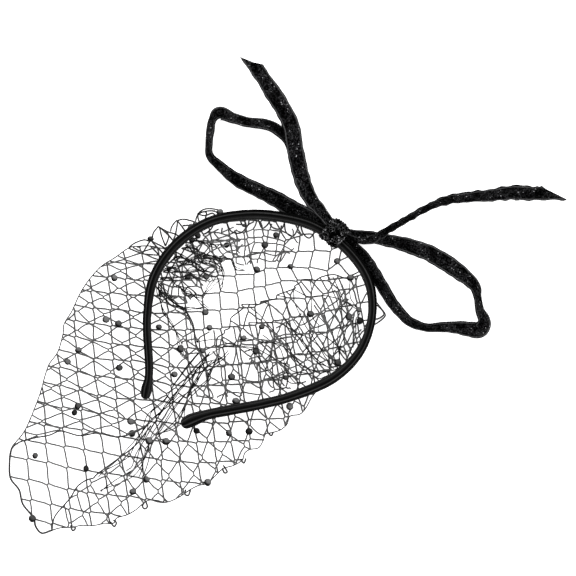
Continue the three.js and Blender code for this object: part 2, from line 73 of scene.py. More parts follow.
# Ribbon sections: how far out from the knot as a share of the strand's reach, heading in degrees,
# lean from flat in degrees, width as a share, and lift as a share of the ribbon's width
LEFT_LOOP = [
    (0, 146.6, -27, 0.6, 0.08), (0.086, 147.3, -25, 0.85, 0.06), (0.234, 150.6, -23, 1, 0.03),
    (0.357, 150.5, -22, 1, 0), (0.472, 151.1, -33, 1, 0), (0.652, 151.6, -41, 1, 0),
    (0.798, 150, -56, 1, 0), (0.892, 148.4, -64, 1, 0), (0.938, 144.9, -67, 1, 0),
    (0.983, 140.9, -62, 1, 0), (1.024, 137.1, -61, 1, 0), (1.012, 133.9, -36, 1, 0),
    (0.933, 131.7, -50, 1, 0), (0.844, 128.2, -53, 1, 0), (0.77, 123.1, -49, 1, 0),
    (0.693, 119.3, -50, 1, 0), (0.596, 116.5, -46, 1, 0), (0.449, 117.4, -36, 1, 0.06),
    (0.29, 121.9, -29, 0.95, 0.22), (0.132, 125.4, -32, 0.8, 0.38), (0, 123.9, -31, 0.55, 0.52),
]
LEFT_TAIL = [
    (0, 119.3, 24, 0.55, 1.08), (0.073, 124.7, 19, 0.75, 1.04), (0.13, 126, 19, 0.85, 0.98),
    (0.208, 123.6, 10, 0.95, 0.86), (0.312, 118.9, 14, 1, 0.72), (0.414, 115.3, 11, 1, 0.66),
    (0.51, 112.5, 14, 1, 0.72), (0.618, 112.8, 14, 1, 0.42), (0.727, 114.1, 9, 1, 0.08),
    (0.793, 114.7, 12, 0.9, 0), (0.855, 115.3, 9, 0.88, 0), (0.918, 115.9, 9, 0.88, 0),
]
RIGHT_LOOP = [
    (0, -3.3, -41, 0.55, 0.35), (0.038, -4.8, -45, 0.65, 0.28), (0.098, -6.8, -39, 0.8, 0.16),
    (0.183, -8.3, -41, 0.92, 0.06), (0.263, -9.1, -41, 1, 0), (0.372, -10.5, -28, 1, 0),
    (0.475, -12.2, -16, 1, 0), (0.556, -14.3, -7, 1, 0), (0.644, -16.6, -10, 1, 0),
    (0.736, -19.1, -34, 1, 0), (0.799, -21.1, -47, 1, 0), (0.837, -24.4, -62, 1, 0),
    (0.886, -28.3, -57, 1, 0), (0.933, -30.4, -41, 1, 0), (0.948, -33.7, -16, 1, 0),
    (0.89, -35.8, -26, 1, 0), (0.827, -37.9, -44, 1, 0), (0.753, -41.8, -55, 1, 0),
    (0.691, -46.2, -62, 1, 0), (0.61, -49.7, -57, 1, 0), (0.545, -50.7, -57, 1, 0),
    (0.451, -50.7, -52, 1, 0), (0.355, -49, -50, 1, 0), (0.265, -46.3, -43, 0.95, 0),
    (0.184, -42.7, -39, 0.9, 0), (0.104, -38, -39, 0.75, 0.03), (0, -35.8, -36, 0.55, 0.08),
]
RIGHT_TAIL = [
    (0, -21.4, 41, 0.55, 0.98), (0.032, -20.4, 44, 0.6, 0.93), (0.066, -15.6, 46, 0.65, 0.9),
    (0.102, -9.1, 47, 0.7, 0.86), (0.139, -1.9, 53, 0.78, 0.78), (0.184, 5.1, 58, 0.75, 0.56),
    (0.243, 9.9, 60, 0.7, 0.26), (0.315, 13.8, 60, 0.7, 0.05), (0.372, 15.5, 58, 0.75, 0),
    (0.436, 16.1, 51, 0.85, 0), (0.501, 15.3, 52, 0.9, 0), (0.566, 14.3, 49, 0.92, 0),
    (0.639, 13.4, 42, 0.95, 0), (0.717, 12.7, 38, 1, 0), (0.793, 11.5, 40, 1, 0),
    (0.844, 10.8, 34, 0.95, 0), (0.908, 10.2, 19, 0.75, 0),
]

# The net, in millimetres from the middle of the horseshoe. First, where every fourth knot of the
# layer on the table lies
NET_LATTICE = [
    [(-123.5, -109), (-77.7, -117.2), (-34.2, -119.5), (8.1, -117.2), (48.7, -111.4), (88.7, -104.4)],
    [(-126.4, -62.6), (-82.4, -70.2), (-38.3, -73.7), (3.5, -71.9), (44.1, -65.5), (83.5, -57.4)],
    [(-129.9, -18), (-87, -25.5), (-43.5, -29.6), (-1.2, -26.7), (38.3, -19.7), (77.1, -11)],
    [(-132.2, 19.1), (-88.7, 12.8), (-45.2, 11.6), (-5.2, 16.2), (33.1, 22.9), (70.8, 31.3)],
    [(-134.6, 54.5), (-93.4, 51), (-52.2, 51), (-11, 54.5), (27.3, 57.7), (65, 65.5)],
]
# Knots of the same layer, by column and row, that lie off this lattice beside the bow
CROWN_KNOTS = {
    (15, 13): (3.8, 9.2), (16, 13): (13.1, 10.2), (14, 14): (-5.0, 16.4), (15, 14): (1.7, 17.2),
    (16, 14): (10.8, 20.1), (17, 14): (20.4, 20.6), (18, 14): (28.7, 20.6), (19, 14): (38.2, 20.8),
    (20, 14): (50.7, 22.6), (14, 15): (-4.2, 24.5), (15, 15): (1.5, 27.3), (16, 15): (8.5, 27.8),
    (17, 15): (16.8, 28.3), (18, 15): (27.1, 28.1), (19, 15): (38.2, 26.3), (20, 15): (44.2, 31.4),
    (16, 16): (12.1, 37.4), (17, 16): (20.4, 37.1), (18, 16): (30.2, 37.9), (19, 16): (40.3, 37.9),
    (20, 16): (46.8, 40.8), (16, 17): (13.7, 43.6), (17, 17): (22.5, 47.0), (18, 17): (30.0, 47.8),
}
# Knots of the two folded-over parts, by column and row, read or guessed where they are bunched
LEFT_FLAP_KNOTS = {
    (-1, -2): (-131.95, -57.94), (0, -2): (-126.61, -62.12), (1, -2): (-116.64, -66.35),
    (-1, -1): (-124.87, -52.26), (0, -1): (-116.87, -56.78), (1, -1): (-105.33, -60.78),
    (2, -1): (-95.58, -68.09), (-2, 0): (-124.41, -40.60), (-1, 0): (-116.87, -46.40),
    (0, 0): (-106.66, -52.14), (1, 0): (-94.02, -55.27), (2, 0): (-86.71, -61.48),
    (3, 0): (-76.56, -68.15), (-3, 1): (-121.97, -29.52), (-2, 1): (-116.87, -35.09),
    (-1, 1): (-106.66, -40.25), (0, 1): (-95.99, -46.17), (1, 1): (-85.78, -51.68),
    (2, 1): (-78.30, -57.83), (3, 1): (-69.02, -64.38), (-4, 2): (-118.78, -20.76),
    (-3, 2): (-112.58, -26.56), (-2, 2): (-106.43, -30.04), (-1, 2): (-95.99, -36.60),
    (0, 2): (-85.67, -43.15), (1, 2): (-78.88, -49.65), (2, 2): (-69.14, -54.52),
    (-4, 3): (-113.91, -15.20), (-3, 3): (-106.55, -19.66), (-2, 3): (-96.86, -26.85),
    (-1, 3): (-86.71, -32.83), (0, 3): (-75.81, -39.27), (1, 3): (-69.14, -45.82),
    (2, 3): (-62.06, -49.88), (-5, 4): (-114.32, -4.35), (-4, 4): (-107.47, -9.22),
    (-3, 4): (-97.03, -13.22), (-2, 4): (-86.59, -20.13), (-1, 4): (-77.72, -26.97),
    (0, 4): (-71.34, -34.39), (1, 4): (-64.96, -42.34), (2, 4): (-56.84, -46.40),
    (-5, 5): (-109.45, 0.99), (-4, 5): (-99.93, -2.15), (-3, 5): (-89.96, -7.89),
    (-2, 5): (-79.05, -13.46), (-1, 5): (-73.72, -22.97), (0, 5): (-63.34, -28.83),
    (1, 5): (-62.06, -38.86), (2, 5): (-52.20, -40.60), (-6, 6): (-105.91, 11.19),
    (-5, 6): (-102.14, 7.83), (-4, 6): (-91.47, 2.96), (-3, 6): (-83.29, -4.58),
    (-2, 6): (-75.05, -11.72), (-1, 6): (-65.54, -17.69), (0, 6): (-55.97, -22.33),
    (1, 6): (-52.78, -31.61), (-6, 7): (-99.93, 17.17), (-5, 7): (-92.39, 14.27),
    (-4, 7): (-85.72, 5.86), (-3, 7): (-75.98, -0.12), (-2, 7): (-67.28, -7.54),
    (-1, 7): (-57.83, -11.77), (0, 7): (-48.55, -15.49), (1, 7): (-44.89, -24.36),
    (-7, 8): (-99.76, 26.68), (-6, 8): (-93.73, 23.20), (-5, 8): (-80.85, 13.86),
    (-4, 8): (-76.85, 9.28), (-2, 8): (-57.83, -1.80), (-1, 8): (-50.81, -6.26),
    (0, 8): (-43.73, -11.77), (-7, 9): (-91.06, 31.32), (-6, 9): (-81.20, 23.20),
    (-5, 9): (-73.08, 18.56), (-2, 9): (-52.26, 3.02), (-1, 9): (-44.89, -1.45),
    (-8, 10): (-85.26, 38.28),
}
LOW_FLAP_KNOTS = {
    (-1, -3): (-87.00, -102.08), (0, -3): (-82.01, -111.82), (-1, -2): (-77.72, -92.22),
    (0, -2): (-74.94, -101.62), (1, -2): (-70.01, -108.75), (-1, -1): (-70.18, -81.78),
    (0, -1): (-66.93, -94.54), (1, -1): (-59.62, -102.95), (-1, 0): (-65.13, -73.20),
    (0, 0): (-59.62, -83.23), (1, 0): (-51.85, -92.74), (2, 0): (-45.65, -101.62),
    (0, 1): (-56.03, -73.66), (1, 1): (-46.92, -83.00), (2, 1): (-38.05, -91.87),
    (3, 1): (-31.90, -96.74), (0, 2): (-52.78, -67.86), (1, 2): (-43.62, -74.53),
    (2, 2): (-33.64, -80.33), (3, 2): (-24.94, -88.74), (0, 3): (-48.72, -60.32),
    (1, 3): (-38.86, -66.70), (2, 3): (-31.32, -71.11), (3, 3): (-22.21, -77.72),
    (4, 3): (-12.18, -82.94), (0, 4): (-44.08, -49.88), (1, 4): (-35.96, -56.26),
    (2, 4): (-28.42, -61.36), (3, 4): (-19.37, -67.57), (4, 4): (-8.93, -73.37),
    (0, 5): (-40.02, -40.02), (1, 5): (-33.06, -45.82), (2, 5): (-26.10, -50.46),
    (3, 5): (-17.69, -58.00), (4, 5): (-7.37, -66.70), (5, 5): (2.61, -67.86), (1, 6): (-29.58, -34.80),
    (2, 6): (-22.62, -39.44), (3, 6): (-13.92, -46.40), (4, 6): (-5.80, -56.26), (5, 6): (3.48, -63.16),
    (1, 7): (-25.52, -23.78), (2, 7): (-18.56, -28.42), (3, 7): (-9.86, -34.80),
    (4, 7): (-1.74, -44.66), (5, 7): (6.38, -51.04), (6, 7): (14.15, -60.32), (2, 8): (-14.50, -17.98),
    (3, 8): (-5.80, -23.20), (4, 8): (2.32, -33.06), (5, 8): (9.86, -40.60), (6, 8): (16.82, -49.88),
    (7, 8): (23.78, -55.68), (2, 9): (-11.02, -8.12), (3, 9): (-1.74, -12.18), (4, 9): (6.38, -22.04),
    (5, 9): (13.92, -30.16), (6, 9): (20.88, -39.44), (7, 9): (27.26, -44.66), (8, 9): (33.64, -48.72),
    (2, 10): (-8.12, 2.32), (3, 10): (1.74, -1.16), (4, 10): (9.86, -11.02), (5, 10): (17.98, -19.72),
    (6, 10): (24.94, -29.00), (7, 10): (30.74, -35.96), (8, 10): (36.54, -40.60), (3, 11): (4.64, 9.28),
    (4, 11): (13.34, 0.00), (5, 11): (21.46, -8.70), (6, 11): (28.42, -19.14), (7, 11): (34.22, -27.26),
    (8, 11): (39.44, -33.06), (4, 12): (16.24, 10.44), (5, 12): (23.78, 1.74), (6, 12): (31.32, -8.70),
    (7, 12): (37.12, -18.56), (8, 12): (42.34, -25.52), (5, 13): (25.52, 12.18), (6, 13): (33.64, 2.32),
    (7, 13): (40.02, -9.28), (8, 13): (45.24, -17.98), (6, 14): (34.80, 11.02), (7, 14): (42.34, 0.58),
    (8, 14): (48.72, -9.86),
}
# Spaced knots of the pleats
LEFT_PLEATS = [
    [(-60.3, 11.6), (-58.6, 24.4), (-51, 36), (-39.4, 45.2), (-17.4, 53.4)],
    [(-54.5, 9.3), (-47.6, 23.2), (-40.6, 31.3), (-31.9, 38.9), (-13.9, 46.4)],
    [(-45.2, 5.8), (-36, 15.1), (-29, 24.4), (-23.2, 31.3), (-9.3, 38.3)],
]
LOW_PLEATS = [
    [(5.8, -41.8), (22, -39.4), (34.8, -34.8), (45.2, -27.8), (52.2, -19.7), (58, -8.1)],
    [(-2.3, -32.5), (10.4, -26.7), (22, -19.7), (33.6, -12.8), (44.1, -4.6), (52.2, 5.8)],
    [(-10.4, -20.9), (0, -12.8), (11.6, -4.6), (24.4, 2.3), (36, 10.4), (46.4, 18.6)],
]
CROWN_PLEATS = [
    [(-15.1, 53.4), (-2.3, 55.1), (12.8, 52.2), (24.4, 47.6)],
    [(-15.1, 41.8), (-4.6, 42.9), (8.1, 42.3), (18.6, 39.4)],
    [(-15.1, 29), (-5.8, 30.2), (3.5, 31.3), (12.8, 31.3)],
]
MIDDLE_PLEATS = [
    [(-46.7, -14.8), (-27.3, -8.1), (-7, -3.5), (13.3, -3.5)],
    [(-41.8, -32.5), (-24.4, -28.4), (-4.1, -26.7), (16.2, -26.7)],
    [(-37.8, -48), (-19.7, -47), (-2.3, -45.8), (16.2, -41.8)],
]

# The layers' outlines: their folds and hems, and the edges that are creased or sewn under the band
LEFT_FOLD = [
    (-41.8, 53.4), (-45.2, 48.1), (-52.2, 42.3), (-57.4, 39.4), (-65, 40.6), (-70.8, 40.6), (-77.3, 39.6),
    (-85.4, 34), (-93.5, 28.8), (-100.9, 20.6), (-106.1, 12.5), (-110.5, 2.9), (-115, -4.5),
    (-115.7, -10.4), (-118.7, -20.8), (-123.8, -28.1), (-126.4, -35.6), (-129.7, -47), (-137.2, -65.3),
    (-143.6, -74),
]
LOW_HEM = [
    (-143.6, -74), (-145.4, -76.6), (-146.3, -79.9), (-146.9, -85.8), (-146.3, -94.5), (-141.3, -101.2),
    (-139.2, -109.4), (-133, -117.2), (-131.7, -122.4), (-128.2, -126.3), (-122.4, -124.7),
]
LOW_FOLD = [
    (-122.4, -124.7), (-117.2, -123.2), (-109.8, -122.8), (-105.6, -121.8), (-98.7, -121.9),
    (-92.8, -120.9), (-86.5, -120.5), (-84.7, -117.7), (-82.1, -116.6), (-78.2, -115.5),
    (-73.1, -112.5), (-68.7, -108.7), (-65, -107), (-60.3, -108.2), (-55.4, -108.3), (-48.7, -105.6),
    (-42.1, -101.2), (-37.1, -98.6), (-31.6, -97.3), (-27.3, -93.1), (-22.6, -88.7), (-16.8, -87),
    (-11.6, -83.9), (-10.1, -79.8), (-7, -77.6), (-2.1, -76.7), (0.6, -72.5), (2, -68.7), (5.2, -67.9),
    (10.4, -66.4), (14.5, -62.9), (16.2, -58.3), (22, -57.1), (25.5, -53.4), (29.3, -46.7),
    (34.8, -40.6),
]
LEFT_FLAP_HEM = [
    (-146.7, -81.8), (-145.3, -77), (-141, -73.4), (-132.4, -70.9), (-123.5, -69.2), (-116.5, -66.8),
    (-105.8, -69.5), (-95.7, -68), (-85.1, -70.1), (-75.6, -68.3), (-66.1, -63.2),
]
LOW_FLAP_HEM = [
    (-64.4, -63.5), (-72.7, -74.2), (-81, -81), (-95.1, -91.3), (-97.8, -94), (-101.7, -95.1),
    (-107, -98.8), (-111.1, -105.3), (-114.1, -108.9), (-119.7, -115.4), (-121.5, -120.1), (-122.1, -125.1),
]
LEFT_FLAP_CREASE = [
    (-60.9, 16.2), (-53.4, 9.3), (-48.7, 6.1), (-44.7, 3.5), (-40, -5.2), (-38.3, -16.8),
    (-32.5, -25.5), (-41.4, -33.4), (-47.6, -41.8), (-55.9, -53.4), (-66.1, -63.2),
]
LOW_FLAP_EDGE = [
    (60, 24.5), (56.3, 23.6), (49.3, 21.8), (41.8, 24), (34.3, 22.6), (30.8, 20.4), (29.1, 21.1),
    (23.3, 21.1), (22.3, 19.5), (18.9, 17.3), (18.9, 15.9), (10.3, 12.8), (8.5, 11.8), (7.8, 9.9),
    (-0.2, 8.4), (-1.6, 6.8),
    (-11.4, 6.7), (-11.1, 4.4), (-17.5, -0.6), (-18.4, -3.1), (-19.1, -7.1), (-21.8, -8.4), (-22.1, -10.2),
    (-25.8, -12.6), (-26.6, -17.6), (-32.5, -25.5), (-41.2, -34.8), (-47.6, -42.9), (-55.9, -54.5),
    (-64.4, -63.5),
]
# How many points of the last two show as a thread of their own; the rest runs into the crease
LEFT_CREASE_SHOWN = 7
LOW_EDGE_SHOWN = 25
SEWN_EDGE = [
    (39.4, -37.1), (51, -26.7), (58, -16.2), (62.6, -5.2), (64.4, 6.4), (63.2, 19.1),
    (58, 32.5), (48.1, 44.1), (34.8, 51.6), (16.2, 57.4), (-3.5, 58.9), (-23.2, 56.8),
    (-32.5, 55.1), (-41.8, 53.4),
]
LEFT_SEWN_EDGE = [
    (-60.9, 16.2), (-62.1, 20.3), (-60.9, 26.7), (-57.4, 33.6), (-52.2, 40.6), (-47.6, 46.4),
    (-41.8, 53.4),
]

# Bunched threads where the net is gathered at the left and right and creased between its flaps,
# then single loops of thread by the band and along the low fold
LEFT_GATHER = [
    [(-57.4, 26.1), (-51, 28.4), (-46.4, 29.6), (-41.2, 33.1), (-34.8, 35.7), (-29.6, 34.8), (-25.5, 33.1),
     (-23.8, 29.6), (-22.6, 24.4), (-23.8, 18.6), (-24.4, 16.2)],
    [(-46.4, 39.4), (-38.9, 39.4), (-35.4, 35.7), (-27.8, 34.8), (-24.4, 33.6), (-20.9, 33.1),
     (-17.4, 32.5), (-14.5, 27.8), (-10.4, 26.7)],
    [(-38.9, 44.7), (-33.1, 42.9), (-29.6, 41.2), (-24.9, 41.2), (-21.5, 40.6), (-16.2, 40.6)],
    [(-57.4, 25.5), (-50.5, 25.5), (-44.1, 26.1), (-41.2, 26.7), (-36, 27.3), (-31.9, 26.7), (-27.8, 26.1),
     (-24.4, 26.7)],
    [(-59.2, 21.5), (-53.9, 22.6), (-46.4, 22.6), (-42.3, 23.2), (-37.7, 21.5), (-33.1, 22.6),
     (-30.7, 20.3), (-29.6, 19.7)],
    [(-60.3, 19.1), (-56.8, 15.1), (-53.9, 11), (-51, 7.5), (-48.1, 5.2), (-45.2, 3.5), (-41.8, -3.5),
     (-40, -8.1), (-38.3, -15.7)],
    [(-60.9, 16.8), (-57.4, 12.2), (-53.9, 7), (-48.1, 5.2), (-44.7, 4.1), (-38.9, 4.1), (-34.8, 4.1)],
    [(-47, 16.2), (-44.1, 13.3), (-38.9, 12.2), (-34.2, 11.6), (-33.6, 13.3), (-31.9, 16.8), (-29.6, 19.7),
     (-26.1, 22), (-23.2, 23.2)],
    [(-60.3, 18.6), (-59.2, 9.3), (-57.4, 2.9), (-52.2, -5.2), (-47.6, -15.7), (-45.2, -24.4)],
    [(-53.4, 31.3), (-47.6, 34.8), (-41.8, 31.3), (-36.5, 31.9), (-31.3, 31.3), (-27.3, 27.8)],
    [(-49.9, 37.1), (-44.1, 33.6), (-39.4, 29), (-33.6, 25.5), (-28.4, 23.2)],
    [(-44.1, 41.8), (-40.6, 37.1), (-33.6, 33.6), (-26.7, 30.2), (-23.8, 25.5)],
    [(-55.7, 27.8), (-52.2, 20.9), (-47.6, 16.2), (-41.8, 13.9), (-36, 9.3), (-31.3, 4.1)],
]
RIGHT_GATHER = [
    [(46.4, -29), (38.9, -32.5), (28.4, -31.3), (21.5, -27.3), (17.4, -21.5), (14.5, -15.7), (7.5, -9.9),
     (-1.2, 0), (-7, 5.2)],
    [(41.8, -30.7), (37.1, -24.9), (31.9, -16.8), (22, -9.9), (13.9, -5.8), (6.4, -4.1), (-7, -2.9)],
    [(40.6, -31.3), (32.5, -25.5), (25.5, -18), (18, -8.1), (11, 0.6), (5.8, 5.2), (-0.6, 9.3)],
    [(39.4, -30.2), (31.3, -25.5), (24.4, -15.7), (20.3, -7), (16.2, 1.7), (13.3, 9.9), (9.3, 12.2)],
    [(44.1, -27.8), (37.7, -23.2), (31.3, -14.5), (26.1, -6.4), (22, 2.3), (18.6, 9.3), (18.6, 17.4)],
    [(55.7, 3.5), (52.2, 5.8), (45.8, 9.3), (37.1, 11.6), (27.8, 11.6), (18.6, 15.1)],
    [(51, -20.3), (47, -19.7), (40, -13.9), (33.1, -8.7), (33.6, -5.2), (29.6, -1.2), (27.8, 6.4),
     (28.1, 13.9), (28.4, 20.9)],
    [(44.1, -26.7), (45.2, -18.6), (48.1, -9.9), (49.9, -1.2), (47, 7.5), (44.1, 16.2), (41.8, 23.8)],
    [(55.1, 4.1), (53.4, 7.5), (50.5, 15.1), (50.5, 22.6)],
    [(43.5, -27.8), (41.2, -20.9), (41.8, -12.8), (37.1, -5.2), (31.3, 1.2)],
    [(34.8, -33.6), (26.7, -30.2), (19.7, -25.5), (13.3, -19.1), (7, -15.7), (0, -14.5), (-7, -13.3),
     (-14.5, -15.1)],
    [(17.4, -41.8), (10.4, -40.6), (5.8, -34.2), (2.3, -30.2), (-2.3, -23.8), (-7, -19.7), (-14.5, -18.6),
     (-23.2, -19.1), (-33.1, -25.5)],
    [(19.7, -39.4), (15.1, -34.2), (12.8, -27.8), (10.4, -19.7), (6.4, -15.1), (0, -11)],
    [(38.3, -34.2), (32.5, -36), (25.5, -33.6), (19.7, -31.9), (14.5, -28.4)],
    [(22, -38.3), (16.2, -38.9), (13.3, -34.8), (11, -30.2)],
    [(45.2, -26.7), (44.1, -19.7), (43.5, -11), (45.8, -2.3), (44.1, 5.8), (41.8, 15.1), (39.4, 23.2)],
    [(16.2, -30.2), (7, -24.4), (-2.9, -19.1), (-19.7, -15.7), (-26.7, -14.5), (-38.9, -15.1)],
    [(48.7, -26.7), (52.2, -17.4), (54.5, -8.1), (56.8, 2.3)],
]
CREASE = [
    [(-32.5, -25.5), (-41.8, -34.2), (-47.6, -42.3), (-56.3, -53.9), (-66.1, -63.2), (-75.4, -75.4),
     (-81.2, -81.8), (-94.5, -92.2)],
    [(-30.2, -20.9), (-38.3, -29), (-45.2, -38.3), (-53.4, -48.7), (-60.3, -60.3), (-66.7, -69.6),
     (-71.3, -77.7), (-73.1, -87), (-78.9, -92.8)],
    [(-27.8, -26.7), (-36, -33.6), (-42.9, -44.1), (-49.9, -51), (-57.4, -62.6), (-65, -71.9),
     (-67.9, -80.6), (-74.2, -89.3), (-87, -96.3), (-94.5, -100.9)],
    [(-23.2, -23.8), (-33.1, -30.2), (-38.3, -39.4), (-45.8, -47.6), (-52.2, -55.7), (-59.2, -66.1),
     (-65, -76), (-66.7, -84.7), (-70.8, -95.1)],
    [(-36, -20.9), (-44.1, -30.2), (-52.2, -41.8), (-60.3, -51), (-65, -59.2), (-70.8, -71.9)],
    [(-19.7, -19.7), (-27.8, -29), (-32.5, -39.4), (-41.8, -48.7), (-48.7, -59.2), (-60.3, -69.6)],
]
BAND_LOOPS = [
    [(-63.8, 44.9), (-63.1, 48.2), (-61.2, 50.8), (-59.8, 51.7), (-58.3, 46.4), (-56.1, 40.5)],
    [(-59.8, 51.7), (-55, 49), (-50.2, 47.5), (-48.1, 45.8)],
    [(-59.2, 51.3), (-54.2, 46.7), (-51.3, 43.2)],
    [(-53.1, 49), (-52.4, 51.9), (-49.2, 55.4), (-50.2, 47.8), (-51.6, 43.8)],
    [(-49.2, 55.4), (-46.5, 51.9), (-44.7, 49.3)],
    [(-49.2, 55.4), (-45.7, 56.2), (-41.3, 55.3), (-38.3, 54.2)],
    [(-46.1, 52.5), (-41.2, 52.7)],
    [(-65, 40.8), (-61.2, 36.8), (-59.2, 34.2)],
    [(-64.4, 43.5), (-57.5, 40.1), (-54.5, 37.7)],
    [(-63.8, 42.9), (-57.9, 36.8), (-56.3, 34.8)],
    [(-56.1, 40.5), (-54.2, 46.7), (-57.9, 50.5)],
    [(-77.4, 39.7), (-73.8, 42.4), (-68.5, 44.2), (-65.5, 43.3)],
    [(-77.4, 39.3), (-69.4, 36.2), (-60.5, 35.3)],
    [(-69.4, 36.2), (-67.3, 40), (-65, 43.5)],
    [(-38.6, 54.5), (-38, 57.4), (-36, 60.6), (-31.9, 62.3), (-25.6, 61.6), (-20.9, 58.6)],
    [(-36.5, 54.5), (-37.1, 58.6), (-33.6, 60.6), (-27.8, 60.9), (-23.2, 58)],
    [(-33.1, 55.7), (-32.5, 60.3), (-37.4, 59.4), (-33.1, 58.3), (-29, 59.7), (-26.7, 58)],
    [(63.8, -5.8), (67.9, -3.5), (71.6, 0.3), (69, 4.6), (65, 9.9)],
    [(63.8, -1.2), (67.3, -1.7), (70.8, 1.2), (67.3, 5.8), (63.8, 7.5)],
    [(-36, 53.4), (-34.2, 47.6), (-29.6, 50.5), (-27.8, 54.5)],
    [(-20.9, 55.1), (-18, 49.3), (-12.8, 48.1), (-9.3, 51.6), (-10.4, 56.3)],
    [(-12.8, 55.7), (-11, 52.2), (-8.1, 52.8), (-7.5, 56.8)],
    [(-2.3, 56.3), (0, 51), (3.5, 53.4), (4.6, 56.8)],
    [(3.5, 56.3), (5.8, 51.6), (11, 50.5), (13.3, 54.5)],
    [(12.8, 55.7), (13.9, 48.7), (18, 46.4), (20.9, 51), (21.5, 55.1)],
    [(22, 54.5), (23.8, 48.1), (27.3, 45.2), (30.2, 48.1), (32.5, 51)],
    [(-68.6, -108.7), (-69.6, -110.6), (-68.4, -112.2), (-66.7, -111), (-67.6, -107.9)],
    [(-44.4, -100.9), (-44.9, -103.6), (-42.9, -104.4), (-41.6, -101.3)],
    [(-23.2, -88.5), (-22, -91.2), (-20.3, -90.6), (-22.6, -86.8)],
    [(-111.4, -121.8), (-110.2, -124.9), (-108.5, -123.5), (-109.9, -122.4)],
    [(-88.2, -119.7), (-86.1, -122.5), (-84.7, -120.3), (-86.5, -118.6)],
    [(-12.5, -83.5), (-10.6, -85.6), (-9.3, -82.8)],
    [(3.5, -67.9), (5.4, -69.7), (6.6, -67.3)],
]

# Flocked dots
DOT_PLACES = [
    (-64.8, 44.8), (-38.7, 53.1), (-40.6, 44.1), (-37.3, 46.6), (-24.4, 60.3), (-20.6, 41.2),
    (8.1, 47), (1.6, 41.3), (-3.1, 27.1), (16.5, 28.7), (43.6, 31.9), (-43.5, 22.9),
    (-32.5, 22.9), (-85.7, 22), (-90.5, -2), (-83.3, -4.5), (-59.9, -6.4), (-32.9, 2),
    (-30.6, -6.8), (-0.2, -6.3), (28.1, 1.2), (51.3, 22.2), (56.3, 3.7), (56.8, -2.8),
    (50.5, -0.6), (-47.4, -19.1), (-50.8, -33.9), (-10.6, -12.8), (-3.7, -20.6), (-34.6, -20.3),
    (-17.7, -35.3), (-15.2, -49.3), (44, -27.1), (13.9, -35.8), (16.1, -52.5), (-106.3, -19.7),
    (-112.5, -26.5), (-82.7, -30), (-106.8, -52.2), (-108.7, -56), (-76.1, -61.2), (-75.6, -68.3),
    (-65.5, -72.4), (-55.8, -72.7), (-38, -66.7), (-19.3, -67.9), (-7.5, -67), (-131.9, -81.2),
    (-102.3, -88.7), (-67, -94.9), (-75, -101.9), (-31.5, -96.5), (-133.5, -117.7),
]

# Painted sheen of the satin: highlight streaks painted into its colour as it goes round the band: share of
# the way round, then brightness
PAINTED_SATIN_SHEEN = (
    (0.0, 0.03), (0.15, 0.0), (0.175, 0.1), (0.195, 1.0), (0.215, 0.12), (0.25, 0.0), (0.30, 0.15),
    (0.34, 0.6), (0.37, 0.02), (0.41, 0.8), (0.45, 0.06), (0.5, 0.03),
)

# Colours of the ribbon, its knot, the dots and the floor that aren't settings
DEEP_BLACK = (0.0003, 0.0003, 0.0003)
SELVAGE_GREY = (0.11, 0.11, 0.112)
# The ribbon flakes' glints, painted into its colour
PAINTED_GLINT_GREY = (0.045, 0.045, 0.047)
PAINTED_GLINT_WHITE = (0.36, 0.36, 0.37)
KNOT_BLACK = (0.0006, 0.0006, 0.0006)
KNOT_LINES = (0.1, 0.1, 0.102)
# The knot's glints, painted as pale grey
KNOT_PAINTED_GLINT = (0.2, 0.2, 0.205)
# Black of the dark dots, which is also the dots' painted shade
FLOCK_BLACK_AND_SHADE = (0.004, 0.004, 0.004)
PAPER = ((0.9, 0.9, 0.9), (0.94, 0.94, 0.94))

# Shares by which the satin is puffed out and the knot and its wraps are drawn in
SATIN_PUFF = 1.09
KNOT_DRAWN_IN = 0.94
WRAPS_DRAWN_IN = 0.86

# Heights in metres: the lowest for a vertex and for a thread's middle, of a thread on the table,
# on a fold and in a loop by the band, and half the gap between threads that cross
VERTEX_FLOOR = 0.00005
THREAD_FLOOR = 0.0003
TABLE_THREAD = 0.0006
FOLD_THREAD = 0.0015
LOOP_THREAD = 0.0035
CROSSING_LIFT = 0.00014

# Share of a net cell that a knot takes up to each side
KNOT_SIZE = 0.045

# How knots read by eye are smoothed: cells to a unit of the cubic, and how stiff its bends are
CUBIC_SPREAD = 5
CUBIC_STIFFNESS = 0.02

# Which share of the band the net is sewn under, and how near to it the net starts to rise
SEWN_SHARES = (0.17, 0.73)
SEWN_REACH = 0.011

# Height of the folded-over layer on its fold, how far from the fold it is level, and how far from
# the band's centre line it starts to puff. Each puff: middle, spread and height in millimetres
FOLD_HEIGHT = 0.0014
FOLD_REACH = 0.007
PUFF_FROM_BAND = 0.009
PUFFS = (
    (-97, -20, 22, 8.5), (-110, -48, 18, 5), (-70, -62, 20, 2.0), (-44, -81, 20, 7.5),
    (-88, -100, 20, 3.5), (-10, -52, 14, 2.0),
)

# The picture's side, and its middle from the horseshoe's middle, in picture points; the height at
# which the view's width is taken, and the floor's own, just under the table plane
PICTURE_SIDE = 576
PICTURE_MIDDLE = (26, 28)
VIEW_HEIGHT = 0.006
FLOOR_HEIGHT = -0.0002


def neighbours(values, step):
    """The values before, at, after and beyond a step, carried straight on past the ends"""
    here, ahead = values[step], values[step + 1]
    before = values[step - 1] if step > 0 else here * 2 - ahead
    beyond = values[step + 2] if step + 2 < len(values) else ahead * 2 - here
    return before, here, ahead, beyond


